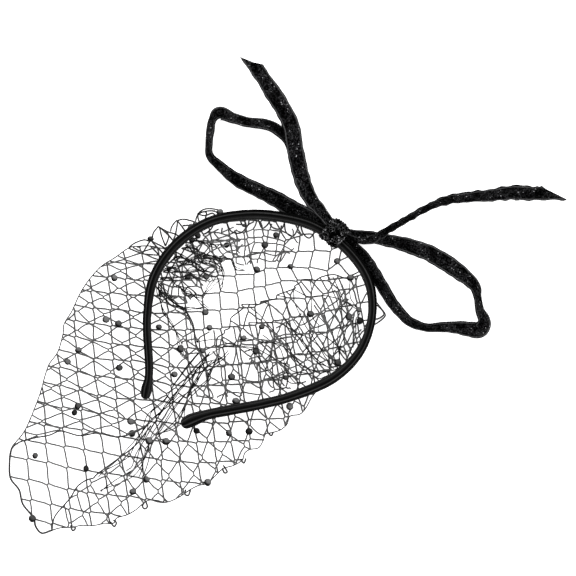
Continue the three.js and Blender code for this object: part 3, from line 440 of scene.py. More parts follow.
def along(values, place):
    """A smooth curve through evenly spaced numbers or vectors, straight on beyond its ends"""
    last = len(values) - 1
    if place < 0:
        return values[0] + (values[1] - values[0]) * place
    if place > last:
        return values[last] + (values[last] - values[last - 1]) * (place - last)
    step = min(int(place), last - 1)
    share = place - step
    before, here, ahead, beyond = neighbours(values, step)
    square, cube = share ** 2, share ** 3
    return (here * (2 * cube - 3 * square + 1) + (ahead - before) * ((cube - 2 * square + share) / 2)
            + ahead * (3 * square - 2 * cube) + (beyond - here) * ((cube - square) / 2))


def line_through(points, steps):
    """Points on a smooth line, so many for each span between the given ones"""
    vectors = [Vector(point) for point in points]
    count = (len(vectors) - 1) * steps
    return [along(vectors, index / steps) for index in range(count + 1)]


def blend(first, second, share):
    """Between two numbers or vectors, with the share held from 0 to 1"""
    share = min(max(share, 0), 1)
    return first + (second - first) * share


def eased(share):
    """A share that leaves 0 and reaches 1 gently"""
    share = min(max(share, 0), 1)
    return share * share * (3 - 2 * share)


def drift(first, second):
    """Two numbers of smooth noise, each read at its own place"""
    return Vector((noise.noise(Vector(first)), noise.noise(Vector(second))))


class BandLine:
    """The band's centre line in plan, with its length and girth"""

    # Points for each span between the given corners
    STEPS = 24

    def __init__(self, settings):
        corners = [Vector((x * settings.span, y * settings.depth)) for x, y, _ in BAND_ROWS]
        girths = [girth for _, _, girth in BAND_ROWS]
        last = len(corners) - 1
        self.points, self.girths = [], []
        for step in range(last):
            before, here, ahead, beyond = near = neighbours(corners, step)
            gaps = [math.sqrt((second - first).length) for first, second in zip(near, near[1:])]
            leave = ((here - before) / gaps[0] - (ahead - before) / (gaps[0] + gaps[1])
                     + (ahead - here) / gaps[1]) * gaps[1]
            arrive = ((ahead - here) / gaps[1] - (beyond - here) / (gaps[1] + gaps[2])
                      + (beyond - ahead) / gaps[2]) * gaps[1]
            for index in range(self.STEPS):
                share = index / self.STEPS
                self.points.append(here + leave * share
                                   + ((ahead - here) * 3 - leave * 2 - arrive) * share ** 2
                                   + (leave + arrive - (ahead - here) * 2) * share ** 3)
                self.girths.append(along(girths, step + share))
        self.points.append(corners[last])
        self.girths.append(girths[last])
        self.lengths = [0]
        for first, second in zip(self.points, self.points[1:]):
            self.lengths.append(self.lengths[-1] + (second - first).length)
        self.length = self.lengths[-1]

    def at(self, share):
        """The point, direction and girth at a share of the band's length"""
        target = min(max(share, 0), 1) * self.length
        index = 1
        while index < len(self.lengths) - 1 and self.lengths[index] < target:
            index += 1
        first, second = self.points[index - 1], self.points[index]
        part = (target - self.lengths[index - 1]) / (self.lengths[index] - self.lengths[index - 1])
        girth = blend(self.girths[index - 1], self.girths[index], part)
        return first + (second - first) * part, (second - first).normalized(), girth

    def nearest(self, x, y):
        """How far a point in plan lies from the band, and at which share of its length"""
        spot = Vector((x, y))
        index = min(range(0, len(self.points), 3), key=lambda i: (self.points[i] - spot).length_squared)
        return (self.points[index] - spot).length, self.lengths[index] / self.length


def band_shift(settings):
    """How far the horseshoe's middle stands from the frame's origin"""
    line = BandLine(settings)
    low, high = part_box("headband")
    reach = settings.radius
    xs = [point.x for point in line.points]
    ys = [point.y for point in line.points]
    lowest = Vector((min(xs) - reach, max(ys) + reach))
    return Vector(((low.x - lowest.x + high.x - max(xs) - reach) / 2, high.y - lowest.y, 0))


# Meshes

def swept_skin(outline, marks, frames, lengths, bend=None, closed=False):
    """A skin drawn from one outline through the frames. u of its map is each corner's mark and v
    the length along it in metres; bend moves a corner in its frame."""
    skin = bmesh.new()
    side = skin.verts.layers.int.new("side")
    ring_of = skin.verts.layers.int.new("ring")
    uv = skin.loops.layers.uv.new("UVMap")
    count = len(outline)

    def corner(ring, index):
        x, y = outline[index]
        spot = bend(ring, x, y) if bend else Vector((x, y, 0))
        return frames[ring] @ spot

    first = [skin.verts.new(corner(0, index)) for index in range(count)]
    for index, vert in enumerate(first):
        vert[side] = index
    edges = [skin.edges.new((first[index], first[(index + 1) % count])) for index in range(count)]
    if not closed:
        skin.faces.new(first)
    for ring in range(1, len(frames)):
        made = bmesh.ops.extrude_edge_only(skin, edges=edges)["geom"]
        for vert in (part for part in made if isinstance(part, bmesh.types.BMVert)):
            vert[ring_of] = ring
            vert.co = corner(ring, vert[side])
        edges = [part for part in made if isinstance(part, bmesh.types.BMEdge)
                 and all(vert[ring_of] == ring for vert in part.verts)]
        for face in (part for part in made if isinstance(part, bmesh.types.BMFace)):
            wraps = {0, count - 1} <= {vert[side] for vert in face.verts}
            for loop in face.loops:
                index = loop.vert[side]
                mark = marks[-1] if wraps and index == 0 else marks[index]
                loop[uv].uv = (mark, lengths[loop.vert[ring_of]])
    if closed:
        bmesh.ops.remove_doubles(skin, verts=skin.verts, dist=1e-6)
    else:
        bmesh.ops.contextual_create(skin, geom=edges)
    bmesh.ops.recalc_face_normals(skin, faces=skin.faces)
    return skin


def mesh_from(skin, name):
    """A mesh made of a skin, which is freed"""
    mesh = bpy.data.meshes.new(name)
    skin.to_mesh(mesh)
    skin.free()
    return mesh


def join_into(whole, part):
    """Adds one skin's mesh to another"""
    mesh = mesh_from(part, "part")
    whole.from_mesh(mesh)
    bpy.data.meshes.remove(mesh)


def finished_piece(name, mesh, material, slot, *nodes):
    """A smooth piece on the frame, standing for the CAD nodes named"""
    if isinstance(mesh, bmesh.types.BMesh):
        mesh = mesh_from(mesh, name)
    mesh.name = name
    mesh.materials.clear()
    mesh.materials.append(material)
    mesh.polygons.foreach_set("use_smooth", [True] * len(mesh.polygons))
    piece = bpy.data.objects.new(name, mesh)
    bpy.context.scene.collection.objects.link(piece)
    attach(piece, "root")
    if nodes:
        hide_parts(*nodes)
    return piece


def thread_mesh(name, lines, diameter):
    """Round threads along lines of (point, thickness as a share)"""
    curve = bpy.data.curves.new(name, "CURVE")
    curve.dimensions = "3D"
    curve.bevel_depth = diameter / 2
    curve.bevel_resolution = 1
    curve.use_fill_caps = True
    for line in lines:
        spline = curve.splines.new("POLY")
        spline.points.add(len(line) - 1)
        for knot, (point, share) in zip(spline.points, line):
            knot.co = (*point, 1)
            knot.radius = share
    drawn = bpy.data.objects.new(name, curve)
    bpy.context.scene.collection.objects.link(drawn)
    bpy.context.view_layer.update()
    mesh = bpy.data.meshes.new_from_object(drawn.evaluated_get(bpy.context.evaluated_depsgraph_get()))
    bpy.data.objects.remove(drawn)
    bpy.data.curves.remove(curve)
    return mesh


def thread_piece(name, lines, net, finish):
    """One piece of the veil, made of threads"""
    return finished_piece(name, thread_mesh(name, lines, net.thread), finish, "veil_thread", "veil_net")


# Finishes

class Wire:
    """A shader socket that sums can be written with"""

    def __init__(self, finish, socket):
        self.finish = finish
        self.socket = socket

    def sum(self, operation, *parts):
        """One step of arithmetic"""
        return self.finish.node("ShaderNodeMath", {"operation": operation}, dict(enumerate(parts)))

    def __add__(self, other):
        return self.sum("ADD", self, other)

    def __radd__(self, other):
        return self.sum("ADD", other, self)

    def __sub__(self, other):
        return self.sum("SUBTRACT", self, other)

    def __rsub__(self, other):
        return self.sum("SUBTRACT", other, self)

    def __mul__(self, other):
        return self.sum("MULTIPLY", self, other)

    def above(self, edge):
        """1 over the edge and 0 under it"""
        return self.sum("GREATER_THAN", self, edge)

    def size(self):
        """How far from 0, to either side"""
        return self.sum("ABSOLUTE", self)


class Finish:
    """A material under construction, ending in one Principled shader"""

    def __init__(self, name, **constants):
        self.material = bpy.data.materials.new(name)
        self.material.use_nodes = True
        self.tree = self.material.node_tree
        self.shader = self.tree.nodes["Principled BSDF"]
        for socket, value in constants.items():
            self.shader.inputs[socket.replace("_", " ")].default_value = value

    def node(self, kind, settings=None, inputs=None, output=0):
        """One node of a kind, with its settings, then its sockets' values or links"""
        made = self.tree.nodes.new(kind)
        for key, value in (settings or {}).items():
            if key == "stops":
                ramp = made.color_ramp
                while len(ramp.elements) < len(value):
                    ramp.elements.new(0.5)
                for element, (position, colour) in zip(ramp.elements, value):
                    element.position = position
                    element.color = colour
            else:
                setattr(made, key, value)
        for key, value in (inputs or {}).items():
            if isinstance(value, Wire):
                self.tree.links.new(value.socket, made.inputs[key])
            else:
                made.inputs[key].default_value = value
        return Wire(self, made.outputs[output])

    def place(self):
        """Where a point lies on its object, in metres"""
        return self.node("ShaderNodeTexCoord", output="Object")

    def across(self):
        """The piece's own map: u across or round it, v along it in metres"""
        return self.node("ShaderNodeTexCoord", output="UV")

    def parts(self, vector):
        """The first two numbers of a vector"""
        outputs = self.node("ShaderNodeSeparateXYZ", {}, {0: vector}).socket.node.outputs
        return Wire(self, outputs[0]), Wire(self, outputs[1])

    def stretched(self, vector, scale):
        """Coordinates scaled by a different share each way"""
        return self.node("ShaderNodeMapping", {}, {"Vector": vector, "Scale": scale})

    def grain(self, vector, scale, detail=2.0, roughness=0.5):
        """Smooth noise"""
        settings = {"Scale": scale, "Detail": detail, "Roughness": roughness, "Vector": vector}
        return self.node("ShaderNodeTexNoise", {}, settings, "Fac")

    def flakes(self, vector, scale):
        """A random share for each cell of a pattern"""
        cells = self.node("ShaderNodeTexVoronoi", {}, {"Scale": scale, "Vector": vector}, "Color")
        return self.node("ShaderNodeSeparateColor", {}, {0: cells})

    def ramp(self, value, *stops):
        """A grey for each value: stops are (value, grey)"""
        colours = [(place, (grey, grey, grey, 1)) for place, grey in stops]
        return self.node("ShaderNodeValToRGB", {"stops": colours}, {0: value})

    def mixed(self, share, first, second):
        """A colour between two, which may be colours or wires"""
        first, second = (end if isinstance(end, Wire) else (*end, 1) for end in (first, second))
        # 6 and 7 are the colour sockets, and 2 is the colour that comes out
        return self.node("ShaderNodeMix", {"data_type": "RGBA"}, {"Factor": share, 6: first, 7: second}, 2)

    def feed(self, socket, wire):
        """Links a wire to the shader"""
        self.tree.links.new(wire.socket, self.shader.inputs[socket])

    def bump(self, height, strength, distance):
        """Relief that stands up to a distance in metres"""
        inputs = {"Height": height, "Strength": strength, "Distance": distance}
        self.feed("Normal", self.node("ShaderNodeBump", {}, inputs))


def satin_finish(settings):
    """Black satin with highlight streaks painted into its colour round the band, where its lengthwise folds
    catch the light; u of the map goes round the band
    """
    finish = Finish("band_satin", Specular_IOR_Level=0.02)
    around, _ = finish.parts(finish.across())
    place = finish.place()
    weave = finish.grain(place, 1300.0, 3.0, 0.7)
    threads = finish.grain(finish.stretched(finish.across(), (60, 700, 1)), 6.0, 2.0)
    streak = finish.grain(finish.stretched(finish.across(), (34, 42, 1)), 1.0, 3.0)
    # Painted highlight: the sheen streaks, broken up by noise, set how far the satin's colour goes from black
    # towards its highlight colour
    painted_sheen = finish.ramp(around, *PAINTED_SATIN_SHEEN)
    light = painted_sheen * (0.1 + streak * 1.8) * (0.3 + weave * 1.4)
    finish.feed("Base Color", finish.mixed(light, DEEP_BLACK, tuple(settings.colour)))
    finish.feed("Roughness", 0.34 + weave * 0.25)
    finish.bump(threads * 0.5 + streak * 0.8, 0.35, 0.0003)
    return finish.material


def ribbon_finish(settings):
    """Black lurex ribbon: a dark grey speckle, rare flakes whose glints are painted into the colour in grey
    and white, and a thin pale line by each selvage
    """
    finish = Finish("glitter_ribbon", Specular_IOR_Level=0.0)
    metres = finish.across()
    u, _ = finish.parts(metres)
    place = finish.place()
    speck = finish.grain(place, 1050.0, 3.0, 0.7)
    patches = finish.grain(place, 150.0, 2.0)
    flake = finish.flakes(place, 2400.0)
    # Painted glints: the shining flakes are coloured grey and the brightest of them white, and the shining
    # ones are also made smoother
    shining = flake.above(1 - settings.glitter) * patches.above(0.48)
    painted_white_glints = flake.above(1 - settings.glitter * 0.08) * patches.above(0.5)
    edge = 1 - finish.node("ShaderNodeMath", {"use_clamp": True, "operation": "MULTIPLY"},
                           {0: ((u - 0.5).size() - 0.425).size(), 1: 20.0})
    stitch = finish.grain(finish.stretched(metres, (1, 1600, 1)), 1.0, 0.0)
    light = finish.ramp(speck * 0.8 + patches * 0.2, (0.49, 0.0), (0.54, 0.45), (0.64, 1.0))
    cloth = finish.mixed(light, DEEP_BLACK, tuple(settings.colour))
    trimmed = finish.mixed(edge * (0.3 + stitch * 0.6), cloth, SELVAGE_GREY)
    painted_light = finish.mixed(shining, trimmed, PAINTED_GLINT_GREY)
    finish.feed("Base Color", finish.mixed(painted_white_glints, painted_light, PAINTED_GLINT_WHITE))
    finish.feed("Roughness", 0.7 - shining * 0.3)
    finish.bump(speck * 0.6 + edge * 0.8, 0.5, 0.0003)
    return finish.material


def knot_finish(settings):
    """The same ribbon drawn tight, where its weave shows as a mesh of fine pale lines, with glints painted
    into its colour as small bright beads
    """
    finish = Finish("knotted_ribbon", Specular_IOR_Level=0.0, Roughness=0.6)
    place = finish.place()
    cells = finish.node("ShaderNodeTexVoronoi", {"feature": "DISTANCE_TO_EDGE"},
                        {"Scale": 620.0, "Vector": place}, "Distance")
    worn = finish.grain(place, 420.0, 3.0)
    patches = finish.grain(place, 170.0, 2.0)
    flake = finish.flakes(place, 1300.0)
    lines = finish.ramp(cells, (0.02, 1.0), (0.09, 0.0)) * finish.ramp(worn, (0.42, 0.0), (0.6, 1.0))
    woven = finish.mixed(lines, KNOT_BLACK, KNOT_LINES)
    # Painted glints: the ribbon's brightest flakes are coloured pale grey
    painted_glints = flake.above(1 - settings.glitter * 0.9) * patches.above(0.5)
    finish.feed("Base Color", finish.mixed(painted_glints, woven, KNOT_PAINTED_GLINT))
    finish.bump(lines, 0.6, 0.0004)
    return finish.material


def thread_finish(settings, name, depth=1.0):
    """Fuzzy black thread, greyer where it lies single; depth darkens its colour and sheen as painted shade,
    for darker copies where the net is doubled, folded or bunched
    """
    finish = Finish(name, Specular_IOR_Level=0.12 * depth)
    place = finish.place()
    fuzz = finish.grain(place, 2200.0, 3.0, 0.6)
    worn = finish.grain(place, 60.0, 2.0)
    # Painted shade: a depth under 1 darkens the thread's whole colour
    colour = tuple(part * depth for part in settings.colour)
    base = finish.mixed(worn * 0.6 + fuzz * 0.4, tuple(part * 0.4 for part in colour),
                        tuple(part * 2.0 for part in colour))
    finish.feed("Base Color", base)
    finish.feed("Roughness", 0.5 + fuzz * 0.35)
    finish.bump(fuzz, 0.4, 0.0001)
    return finish.material


def flock_finish(settings):
    """Grey flock on the side of each dot that faces the light, black away from it and at its rim, which is
    painted light and shade; u of the map is the dot's own lightness and v its painted light
    """
    finish = Finish("flocked_dot", Specular_IOR_Level=0.1, Roughness=0.95)
    lightness, top = finish.parts(finish.across())
    fuzz = finish.grain(finish.place(), 2600.0, 3.0, 0.7)
    # Painted light: the side of the dot that faces the light turns grey
    painted_light = finish.ramp(top + fuzz * 0.5 - 0.25, (0.66, 0.0), (0.84, 1.0))
    colour = tuple(settings.dot_colour)
    finish.feed("Base Color", finish.mixed(painted_light * lightness, FLOCK_BLACK_AND_SHADE, colour))
    finish.bump(fuzz, 0.8, 0.0003)
    return finish.material


def floor_finish(settings):
    """White paper, lifted towards pure white"""
    finish = Finish("studio_floor", Roughness=0.9, Specular_IOR_Level=0.0)
    finish.shader.inputs["Emission Strength"].default_value = settings.floor_glow
    finish.shader.inputs["Emission Color"].default_value = (1, 1, 1, 1)
    paper = finish.grain(finish.place(), 900.0, 2.0)
    finish.feed("Base Color", finish.mixed(paper, *PAPER))
    return finish.material


# Settings

def length(name, description, default):
    """A setting in metres"""
    return bpy.props.FloatProperty(name=name, description=description, default=default, min=0.00001,
                                   precision=5, subtype="DISTANCE", unit="LENGTH")


def shade(name, description, default):
    """A colour setting"""
    return bpy.props.FloatVectorProperty(name=name, description=description, default=default,
                                         subtype="COLOR", size=3, min=0, max=1)


def share_of(name, description, default):
    """A setting from 0 to 1"""
    return bpy.props.FloatProperty(name=name, description=description, default=default, min=0, max=1,
                                   subtype="FACTOR")


class BandSettings(bpy.types.PropertyGroup):
    """The wrapped band"""
    span: length("Span", "Between the arms' centre lines at the widest", 0.1305)
    depth: length("Depth", "From the crown's centre line to the lower tip", 0.122)
    radius: length("Radius", "Of the wrapped band", 0.0027)
    height: length("Height", "Of the band's centre line above the table", 0.0075)
    # The satin colour is the colour of the band's painted highlight streaks
    colour: shade("Satin", "Colour where the band's satin catches the light", (0.042, 0.042, 0.042))


class BowSettings(bpy.types.PropertyGroup):
    """The ribbon bow"""
    width: length("Ribbon width", "From selvage to selvage", 0.010)
    thickness: length("Ribbon thickness", "At the middle of the ribbon", 0.0007)
    knot_radius: length("Knot radius", "Of the wraps round the band", 0.0075)
    knot_bulge: length("Knot bulge", "How far the knot's middle lies outside the band", 0.003)
    knot_place: share_of("Knot place", "Share of the band's length from its left tip", 0.502)
    glitter: share_of("Glitter", "Share of the ribbon's flakes that shine", 0.1)
    colour: shade("Ribbon", "Colour of the ribbon's speckle", (0.02, 0.02, 0.021))


class NetSettings(bpy.types.PropertyGroup):
    """The veil's net"""
    thread: length("Thread", "Diameter of the net's thread", 0.00094)
    dot: length("Dot", "Diameter of a flocked dot", 0.0041)
    table_height: length("Lower layer", "Height of the layer that lies on the table", 0.0004)
    flap_height: length("Folded layer", "Height of the layer folded over it", 0.0033)
    sewn_height: length("Sewn edge", "Height at which the net is sewn under the band", 0.0044)
    colour: shade("Thread colour", "Colour of the net's thread", (0.075, 0.075, 0.075))
    # The dot colour is that of the flock's painted lit side
    dot_colour: shade("Dot colour", "Colour of the flocked dots", (0.15, 0.15, 0.15))


class StageSettings(bpy.types.PropertyGroup):
    """Floor, light and camera"""
    view_width: length("View width", "Width of the table that the picture takes in", 0.33408)
    camera_height: length("Camera height", "Of the camera above the table", 2.0)
    floor_size: length("Floor size", "Side of the floor", 6.0)
    floor_glow: bpy.props.FloatProperty(name="Floor glow", description="Lift of the floor towards white",
                                        default=0.85, min=0)
    sky: bpy.props.FloatProperty(name="Room light", description="Strength of the light from all round",
                                 default=0.55, min=0)


# Pieces

class HEADBAND_OT_band(bpy.types.Operator):
    """The satin wrapped band with its two swollen tips"""
    bl_idname = "headband.band"
    bl_label = "Wrapped band"

    def execute(self, context):
        settings = context.scene.headband_band
        line = BandLine(settings)
        shift = band_shift(settings)
        around, steps = 26, 420
        # Rings: share of the length, girth at the rounded tips, and push beyond the line's end
        tip_angles = [math.radians(degrees) for degrees in (84, 68, 50, 32, 15)]
        rings = [(0, math.cos(angle), -math.sin(angle)) for angle in tip_angles]
        rings += [(step / steps, 1, 0) for step in range(steps + 1)]
        rings += [(1, math.cos(angle), math.sin(angle)) for angle in reversed(tip_angles)]
        frames, lengths, radii = [], [], []
        for share, tip, push in rings:
            point, heading, girth = line.at(share)
            radius = settings.radius * girth
            ahead = Vector((heading.x, heading.y, 0))
            centre = Vector((point.x, point.y, settings.height)) + shift + ahead * push * radius
            frames.append(Matrix((UP.cross(ahead), UP, ahead)).transposed().to_4x4())
            frames[-1].translation = centre
            lengths.append(share * line.length + push * radius)
            radii.append(radius * tip)

        def bend(ring, x, y):
            """Two lengthwise folds of the satin with a groove between them, and small wrinkles"""
            angle = math.atan2(y, x)
            metres = lengths[ring]
            fold, second_fold, groove = (
                high * math.exp(-((angle - middle) / wide) ** 2)
                for high, middle, wide in ((0.05, 1.15, 0.2), (0.045, 2.05, 0.18), (0.05, 1.6, 0.16)))
            wrinkle = 0.035 * noise.noise(Vector((x * 1.6, y * 1.6, metres * 260)))
            swell = 0.03 * noise.noise(Vector((3.7, 1.1, metres * 45)))
            reach = radii[ring] * (SATIN_PUFF + fold + second_fold - groove + wrinkle + swell)
            return Vector((x * reach, y * reach, 0))

        turns = [2 * math.pi * k / around for k in range(around)]
        outline = [(math.cos(turn), math.sin(turn)) for turn in turns]
        marks = [k / around for k in range(around)] + [1.0]
        skin = swept_skin(outline, marks, frames, lengths, bend)
        finished_piece("satin_band", skin, satin_finish(settings), "satin_wrap", "headband")
        return {"FINISHED"}


class HEADBAND_OT_knot(bpy.types.Operator):
    """The knot: ribbon wound round the band in narrow crossing folds"""
    bl_idname = "headband.knot"
    bl_label = "Bow knot"

    def execute(self, context):
        band = context.scene.headband_band
        bow = context.scene.headband_bow
        line = BandLine(band)
        shift = band_shift(band)
        whole = bmesh.new()
        around = 56
        # The wraps stand lower towards both ends of the knot, by the cosine of their place over this
        taper = 8.6
        # Each wrap: place along the band, half width, thickness and tilt in millimetres, and the
        # turn at which its tilt starts
        wraps = [
            (-5.6, 1.9, 1.3, 0.6, 0.4), (-3.2, 2.3, 1.7, 1.3, 2.2), (-0.8, 2.4, 1.9, -1.2, 1.0),
            (1.7, 2.4, 1.8, 1.1, 3.4), (4.0, 2.1, 1.6, -0.8, 0.2), (5.9, 1.6, 1.2, 0.5, 1.9),
        ]
        for number, (place, half, deep, tilt, turn) in enumerate(wraps):
            frames, lengths = [], []
            for step in range(around + 1):
                angle = 2 * math.pi * (step % around) / around
                moved = (place * WRAPS_DRAWN_IN + tilt * math.sin(angle + turn)) * MM
                point, heading, _ = line.at(bow.knot_place + moved / line.length)
                ahead = Vector((heading.x, heading.y, 0))
                outward = UP.cross(ahead)
                full = math.cos(place / taper) ** 0.6
                reach = (bow.knot_radius * KNOT_DRAWN_IN - deep * MM * 0.5) * full
                bulge = bow.knot_bulge * full
                centre = (Vector((point.x, point.y, band.height)) + shift
                          + outward * (math.cos(angle) * reach + bulge) + UP * math.sin(angle) * reach)
                centre.z = max(centre.z, deep * MM * 0.5)
                away = (outward * math.cos(angle) + UP * math.sin(angle)).normalized()
                round_it = ahead.cross(away)
                lean = tilt * 0.22 * math.cos(angle + turn)
                wide = (ahead + round_it * lean).normalized()
                matrix = Matrix((wide, away, wide.cross(away))).transposed().to_4x4()
                matrix.translation = centre
                frames.append(matrix)
                lengths.append(step / around * 2 * math.pi * bow.knot_radius)

            def bend(ring, x, y, half=half, deep=deep, number=number):
                angle = 2 * math.pi * (ring % around) / around
                rough = noise.noise(Vector((math.cos(angle) * 1.4, math.sin(angle) * 1.4, number * 7 + x)))
                pleat = 0.22 * math.cos(x * 7.5 + 2.2 * rough + number)
                crown = (0.5 + pleat + 0.25 * rough) * (1 - x * x) ** 0.5 if y > 0 else 0
                return Vector((x * half * MM, y * (0.5 + crown) * deep * MM, 0))

            across = 12
            places = [math.cos(math.pi * k / across) for k in range(across)]
            outline = [(x, 1.0 if x < 1 else 0.4) for x in places] + [(-x, -1.0) for x in places]
            marks = [k / len(outline) for k in range(len(outline))] + [1.0]
            join_into(whole, swept_skin(outline, marks, frames, lengths, bend, closed=True))
        for vert in whole.verts:
            vert.co.z = max(vert.co.z, VERTEX_FLOOR)
        bmesh.ops.recalc_face_normals(whole, faces=whole.faces)
        finished_piece("bow_wraps", whole, knot_finish(bow), "glitter_ribbon", "bow_knot")
        return {"FINISHED"}


class HEADBAND_OT_ribbons(bpy.types.Operator):
    """The bow's two loops and two tails, each one run of glitter ribbon"""
    bl_idname = "headband.ribbons"
    bl_label = "Ribbon loops and tails"

    def execute(self, context):
        bow = context.scene.headband_bow
        finish = ribbon_finish(bow)
        # Name, sections, reach, seats on the knot at both ends and slant of the cut, in millimetres
        strands = [
            ("left_loop", LEFT_LOOP, 86, 8.31, 9.04, 0),
            ("left_tail", LEFT_TAIL, 112, 8.50, 8.50, 1.28),
            ("right_loop", RIGHT_LOOP, 98, 9.19, 8.38, 0),
            ("right_tail", RIGHT_TAIL, 134, 8.74, 8.74, -1.85),
        ]
        for name, table, reach, first_seat, last_seat, cut in strands:
            skin, run = self.strand(context, table, reach * MM, first_seat * MM, last_seat * MM, cut, name)
            piece = finished_piece(name + "_ribbon", skin, finish, "glitter_ribbon", name)
            width = round(bow.width, 4)
            mean = sum(row[3] for row in table) / len(table)
            area = width * run * mean
        return {"FINISHED"}

    def strand(self, context, table, reach, first_seat, last_seat, cut, name):
        """One ribbon's skin and its length along the middle"""
        band = context.scene.headband_band
        bow = context.scene.headband_bow
        line = BandLine(band)
        shift = band_shift(band)
        seat, heading, _ = line.at(bow.knot_place)
        outward = UP.cross(Vector((heading.x, heading.y, 0)))
        knot = Vector((seat.x, seat.y, 0)) + outward * bow.knot_bulge + shift
        last = len(table) - 1
        tucked = 2.2 * MM
        is_loop = table[last][0] == 0
        plan = []
        for index, (out, degrees, *_) in enumerate(table):
            tuck = tucked if index == 0 or (is_loop and index == last) else 0
            distance = blend(first_seat, last_seat, index / last) + out * reach - tuck
            angle = math.radians(degrees)
            plan.append(knot + Vector((math.cos(angle), math.sin(angle), 0)) * distance)
        leans = [row[2] for row in table]
        widths = [row[3] for row in table]
        lifts = [row[4] for row in table]
        per_row = 12
        places = [index / per_row for index in range(last * per_row + 1)]
        centres = []
        for place in places:
            lean = math.radians(abs(along(leans, place)))
            width = bow.width * along(widths, place)
            rise = (width * math.sin(lean) + bow.thickness * math.cos(lean)) / 2
            point = along(plan, place)
            lift = bow.width * max(along(lifts, place), 0)
            centres.append(Vector((point.x, point.y, lift + rise + 0.0001)))
        run = [0]
        for first, second in zip(centres, centres[1:]):
            run.append(run[-1] + (second - first).length)
        whole = run[-1]
        frames, halves, slants = [], [], []
        for index, centre in enumerate(centres):
            ahead = (centres[min(index + 1, len(centres) - 1)] - centres[max(index - 1, 0)]).normalized()
            flat = UP.cross(ahead).normalized()
            wide = Matrix.Rotation(math.radians(along(leans, places[index])), 3, ahead) @ flat
            thick = ahead.cross(wide).normalized()
            frames.append(Matrix((wide, thick, ahead)).transposed().to_4x4())
            frames[-1].translation = centre
            half = bow.width * along(widths, places[index]) / 2
            halves.append(half)
            slants.append(cut * half * max(1 - (whole - run[index]) / 0.014, 0) ** 1.5)
        seed = len(name) * 3.1 + reach * 40
        # The right tail is the most crumpled
        crinkle, waviness = (0.0005, 0.0012) if name == "right_tail" else (0.00022, 0.0004)

        def bend(ring, x, y):
            """Pleats by the knot, crinkled selvages, and a slanted cut"""
            from_knot = run[ring] if not is_loop else min(run[ring], whole - run[ring])
            pleat = 0.0007 * math.exp(-from_knot / 0.013) * math.cos(x * 8.5 + seed)
            edge = crinkle * abs(x) ** 3 * noise.noise(Vector((seed, x, run[ring] * 260)))
            swell = 0.00018 * noise.noise(Vector((seed + 9, x * 0.8, run[ring] * 90)))
            ruffle = 0.3 * math.sin(run[ring] * 900 + x)
            ruffle += noise.noise(Vector((seed + 4, x * 1.7, run[ring] * 190)))
            reach_out = halves[ring] + waviness * abs(x) ** 4 * ruffle
            slant = x * slants[ring] - 0.25 * abs(slants[ring]) * (1 - x * x)
            return Vector((x * reach_out, y * bow.thickness / 2 + pleat + edge + swell, slant))

        # The section's upper side, with a ridge by each selvage
        top = [1.0, 0.93, 0.84, 0.6, 0.35, 0.1, -0.15, -0.4, -0.65, -0.84, -0.93, -1.0]
        high = [0.5, 1.35, 0.9, 1.0, 1.0, 1.0, 1.0, 1.0, 1.0, 0.9, 1.35, 0.5]
        outline = list(zip(top, high)) + [(-x, -y) for x, y in zip(top, high)]
        marks = [(x + 1) / 2 for x, _ in outline] + [1.0]
        skin = swept_skin(outline, marks, frames, run, bend)
        for vert in skin.verts:
            vert.co.z = max(vert.co.z, VERTEX_FLOOR)
        return skin, whole


def to_frame(points, shift):
    """Points in plan, from millimetres to the frame"""
    return [Vector((x * MM, y * MM)) + shift.to_2d() for x, y in points]


def inside(point, outline):
    """Whether a point in plan lies inside a closed outline"""
    found = False
    previous = outline[-1]
    for corner in outline:
        if (corner.y > point.y) != (previous.y > point.y):
            cross = corner.x + (point.y - corner.y) * (previous.x - corner.x) / (previous.y - corner.y)
            if point.x < cross:
                found = not found
        previous = corner
    return found


def distance_to(point, line):
    """How far a point in plan lies from a line of points"""
    best = 1.0
    for first, second in zip(line, line[1:]):
        span = second - first
        share = min(max((point - first).dot(span) / max(span.length_squared, 1e-12), 0), 1)
        best = min(best, (first + span * share - point).length)
    return best


def smoothed(knots, columns, rows):
    """Places for knots of a layer, in a row for each of rows: the cubic in column and row that lies
    nearest to the knots given"""
    middle = np.mean(list(knots), axis=0)
    powers = [(a, b) for a in range(4) for b in range(4 - a)]

    def terms(column, row):
        c, r = (np.array((column, row)) - middle) / CUBIC_SPREAD
        return [c ** a * r ** b for a, b in powers]

    known = np.array([terms(*knot) for knot in knots])
    stiffness = np.diag([CUBIC_STIFFNESS * (a + b) ** 2 if a + b > 1 else 0 for a, b in powers])
    shares = np.linalg.solve(known.T @ known + stiffness, known.T @ np.array(list(knots.values())))
    return [[tuple(terms(column, row) @ shares) for column in columns] for row in rows]


